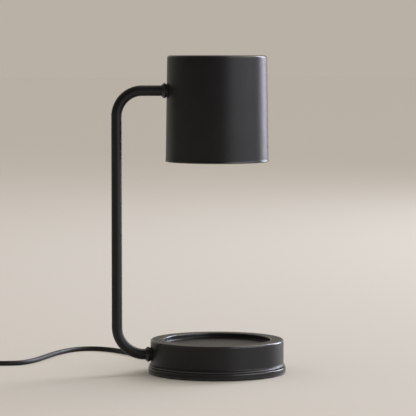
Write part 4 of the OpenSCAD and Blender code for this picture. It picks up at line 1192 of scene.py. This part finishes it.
class LAMP_OT_plug(bpy.types.Operator):
    """Model the moulded plug with its ribbed boot, and the tape round the coil"""

    bl_idname = "lamp.plug"
    bl_label = "Plug and tie"

    def execute(self, context):
        self.mould_body()
        seat = 8 - PLUG_BOOT_L
        tail = [(0, 0), (0, seat), (CORD_BORE, seat), (CORD_BORE, -PLUG_BOOT_L)]
        boot = ribbed_boot("plug_boot_ribbed", PLUG_BOOT_L, PLUG_BOOT_R, PLUG_BOOT_TIP_R, tail)
        place(boot, away_matrix(PLUG_BACK_X, PLUG_Y, PLUG_Z) @ Matrix.Rotation(math.radians(-90), 4, "Y"))
        complete(boot, "stand", "cord_pvc", ["plug_boot"])
        self.wrap_tape()
        return {"FINISHED"}

    def mould_body(self):
        """Extrudes the stadium of the plug's face through its sections."""
        first = PLUG_SECTIONS[0]
        body = ring("plug_moulded_body", first[2] / 2, (0, 0, 0), 64, (0, 90, 0), fill_type="NGON")
        with editing(body, "VERT"):
            for side in (-1, 1):
                pick(body, "verts", lambda vertex: vertex.co.y * side > 0.001 * MM)
                bpy.ops.transform.translate(value=(0, side * (first[1] - first[2]) / 2 * MM, 0))
            bpy.ops.mesh.select_mode(type="FACE")
            bpy.ops.mesh.select_all(action="SELECT")
            for before, section in zip(PLUG_SECTIONS, PLUG_SECTIONS[1:]):
                extrude(section[0] - before[0], 0, 0)
                widths = (1, section[1] / before[1], section[2] / before[2])
                bpy.ops.transform.resize(value=widths, center_override=(0, 0, 0))
            bpy.ops.mesh.select_all(action="SELECT")
            bpy.ops.mesh.normals_make_consistent(inside=False)
        place(body, away_matrix(PLUG_FACE_X, PLUG_Y, PLUG_Z))
        complete(body, "stand", "cord_pvc", ["plug_body"])

    def wrap_tape(self):
        """A band of tape round the coil's two layers, with its end lapped over on top."""
        wide, thick, corner, loose = 7, 0.6, 2, 0.4
        low_x = COIL_AT.x + coil_radius(180) - LIES_AT - loose - thick
        high_x = COIL_AT.x + coil_radius(180 * COIL_TURNS - 90) + LIES_AT + loose + thick
        top = COIL_LOW + COIL_PITCH + LIES_AT + 0.3 + thick
        outline = [
            *arc(low_x + corner, corner, corner, 180, 270),
            *arc(high_x - corner, corner, corner, 270, 360),
            *arc(high_x - corner, top - corner, corner, 0, 90),
            *arc(low_x + corner, top - corner, corner, 90, 180),
        ]
        band = begin("tie_wrapped_tape", "plane", size=MM)
        with editing(band, "VERT"):
            trace([(x, COIL_AT.y - wide / 2, z) for x, z in [*outline, outline[0]]])
            bpy.ops.mesh.select_all(action="SELECT")
            extrude(0, wide, 0)
            close_up()
        modify(band, "SOLIDIFY", thickness=thick * MM, offset=-1, use_even_offset=True)
        place(band, away_matrix())
        complete(band, "stand", "tie_tape", ["cord_tie"], 40)
        long, high = 12, 0.5
        lap_at = (high_x - corner - long / 2, COIL_AT.y, top + high / 2)
        lap = block("tie_lapped_end", lap_at, (long, wide, high))
        with editing(lap, "EDGE"):
            pick(lap, "edges", upright)
            bpy.ops.mesh.bevel(offset=1.5 * MM, segments=5, affect="EDGES")
        place(lap, away_matrix())
        complete(lap, "stand", "tie_tape")


# ---- Pieces that keep the construction's shape ----


class LAMP_OT_finishes(bpy.types.Operator):
    """Give every piece that keeps the shape of the construction its own finish"""

    bl_idname = "lamp.finishes"
    bl_label = "Finishes"

    def execute(self, context):
        slots = {part["node"]: part["material_slot"] for part in frame["record"]["subparts"]}
        for node, piece in frame["nodes"].items():
            if node not in slots:
                raise RuntimeError(f"{node} has no material slot")
            piece.data.materials.clear()
            piece.data.materials.append(finish(slots[node]))
        return {"FINISHED"}


# ---- Stage ----

AIR_TINT = "f2ede6"
AIR_STRENGTH = 0.75
PALE_SIDE = (0.5, 0.87, 0)
DARK_SIDE = "3c3a38"
SUN_AIM = (-0.55, -0.45, -1)
SUN_STRENGTH = 1.0
SUN_ANGLE = 40
SUN_TINT = "fffaf2"
# Name, place and aim in metres, power in watts, width and height in metres, colour
LIGHTS = [
    ("window", (2.3, 1.65, 1.05), (0, 0, 0.15), 76, 1.3, 2.3, "e9edff"),
    ("side", (2.54, -1.91, 0.75), (0, 0, 0.2), 66, 4.2, 1.8, "eceef8"),
]


def add_light(name, kind, at, way, energy, tint):
    """Adds a light at a place in metres, aimed along a way."""
    clear_selection()
    bpy.ops.object.light_add(type=kind, location=at, rotation=way.to_track_quat("-Z", "Y").to_euler())
    light = bpy.context.object
    light.name = name
    light.data.energy = energy
    light.data.color = linear(tint)
    return light


class LAMP_OT_stage(bpy.types.Operator):
    """Add the plain pale floor, the background and the soft studio lights"""

    bl_idname = "lamp.stage"
    bl_label = "Stage"

    def execute(self, context):
        colours = context.scene.lamp_colours
        floor = begin("floor", "plane", size=40, location=(0, 0, 0))
        with editing(floor, chosen="SELECT"):
            bpy.ops.mesh.subdivide(number_cuts=8)
        material, shader, _ = surface("Pale matt floor", Roughness=0.85, Specular_IOR_Level=0.2)
        shader.inputs["Base Color"].default_value = solid(colours.floor)
        floor.data.materials.append(material)
        self.light_world(context, colours)
        sun = add_light("sky", "SUN", (0, 0, 3), Vector(SUN_AIM), SUN_STRENGTH, SUN_TINT)
        sun.data.angle = math.radians(SUN_ANGLE)
        for name, at, aim, energy, wide, high, tint in LIGHTS:
            lamp = add_light(name, "AREA", at, Vector(aim) - Vector(at), energy, tint)
            lamp.data.shape = "RECTANGLE"
            lamp.data.size, lamp.data.size_y = wide, high
            lamp.visible_camera = False
        context.scene.view_settings.view_transform = "Standard"
        return {"FINISHED"}

    def light_world(self, context, colours):
        """A dim even light, with the pale background for what looks straight, off gloss or through glass."""
        world = context.scene.world or bpy.data.worlds.new("Studio")
        context.scene.world = world
        world.use_nodes = True
        tree = world.node_tree
        tree.nodes.clear()
        rays = add(tree, "LightPath").outputs
        straight = reckon("MAXIMUM", rays["Is Camera Ray"], rays["Is Glossy Ray"])
        seen = reckon("MAXIMUM", straight, rays["Is Transmission Ray"])
        soft = add(tree, "Background", {"Color": solid(AIR_TINT), "Strength": AIR_STRENGTH})
        # The room is palest behind the lamp and darkest in front of it, which a black coat mirrors.
        way = add(tree, "TexCoord").outputs["Generated"]
        towards = add(tree, "VectorMath", {0: way, 1: PALE_SIDE}, operation="DOT_PRODUCT").outputs["Value"]
        tone = blend_colours(spread(towards, 0, 1, -1, 0.9), DARK_SIDE, colours.backdrop)
        pale = add(tree, "Background", {"Color": tone, "Strength": 1.0})
        mixed = add(tree, "MixShader", {0: seen, 1: soft.outputs[0], 2: pale.outputs[0]})
        add(tree, "OutputWorld", {"Surface": mixed.outputs[0]})


# ---- Add-on ----

STEPS = (
    LAMP_OT_camera,
    LAMP_OT_dimmer,
    LAMP_OT_plug,
    LAMP_OT_cords,
    LAMP_OT_finishes,
    LAMP_OT_base,
    LAMP_OT_arm,
    LAMP_OT_shade,
    LAMP_OT_bulb,
    LAMP_OT_stage,
)


class LAMP_PT_panel(bpy.types.Panel):
    """Lists the steps that build the lamp"""

    bl_idname = "LAMP_PT_panel"
    bl_label = "Candle warmer lamp"
    bl_space_type = "VIEW_3D"
    bl_region_type = "UI"
    bl_category = "Lamp"

    def draw(self, context):
        for step in STEPS:
            self.layout.operator(step.bl_idname)
        for group in (context.scene.lamp_sizes, context.scene.lamp_colours):
            box_of_values = self.layout.box()
            for key in group.__annotations__:
                box_of_values.prop(group, key)


CLASSES = (LampSizes, LampColours, *STEPS, LAMP_PT_panel)


def register():
    for cls in CLASSES:
        bpy.utils.register_class(cls)
    bpy.types.Scene.lamp_sizes = PointerProperty(type=LampSizes)
    bpy.types.Scene.lamp_colours = PointerProperty(type=LampColours)


def unregister():
    del bpy.types.Scene.lamp_colours
    del bpy.types.Scene.lamp_sizes
    for cls in reversed(CLASSES):
        bpy.utils.unregister_class(cls)


def main():
    register()
    for step in STEPS:
        group, action = step.bl_idname.split(".")
        getattr(getattr(bpy.ops, group), action)()


if __name__ == "__main__":
    main()
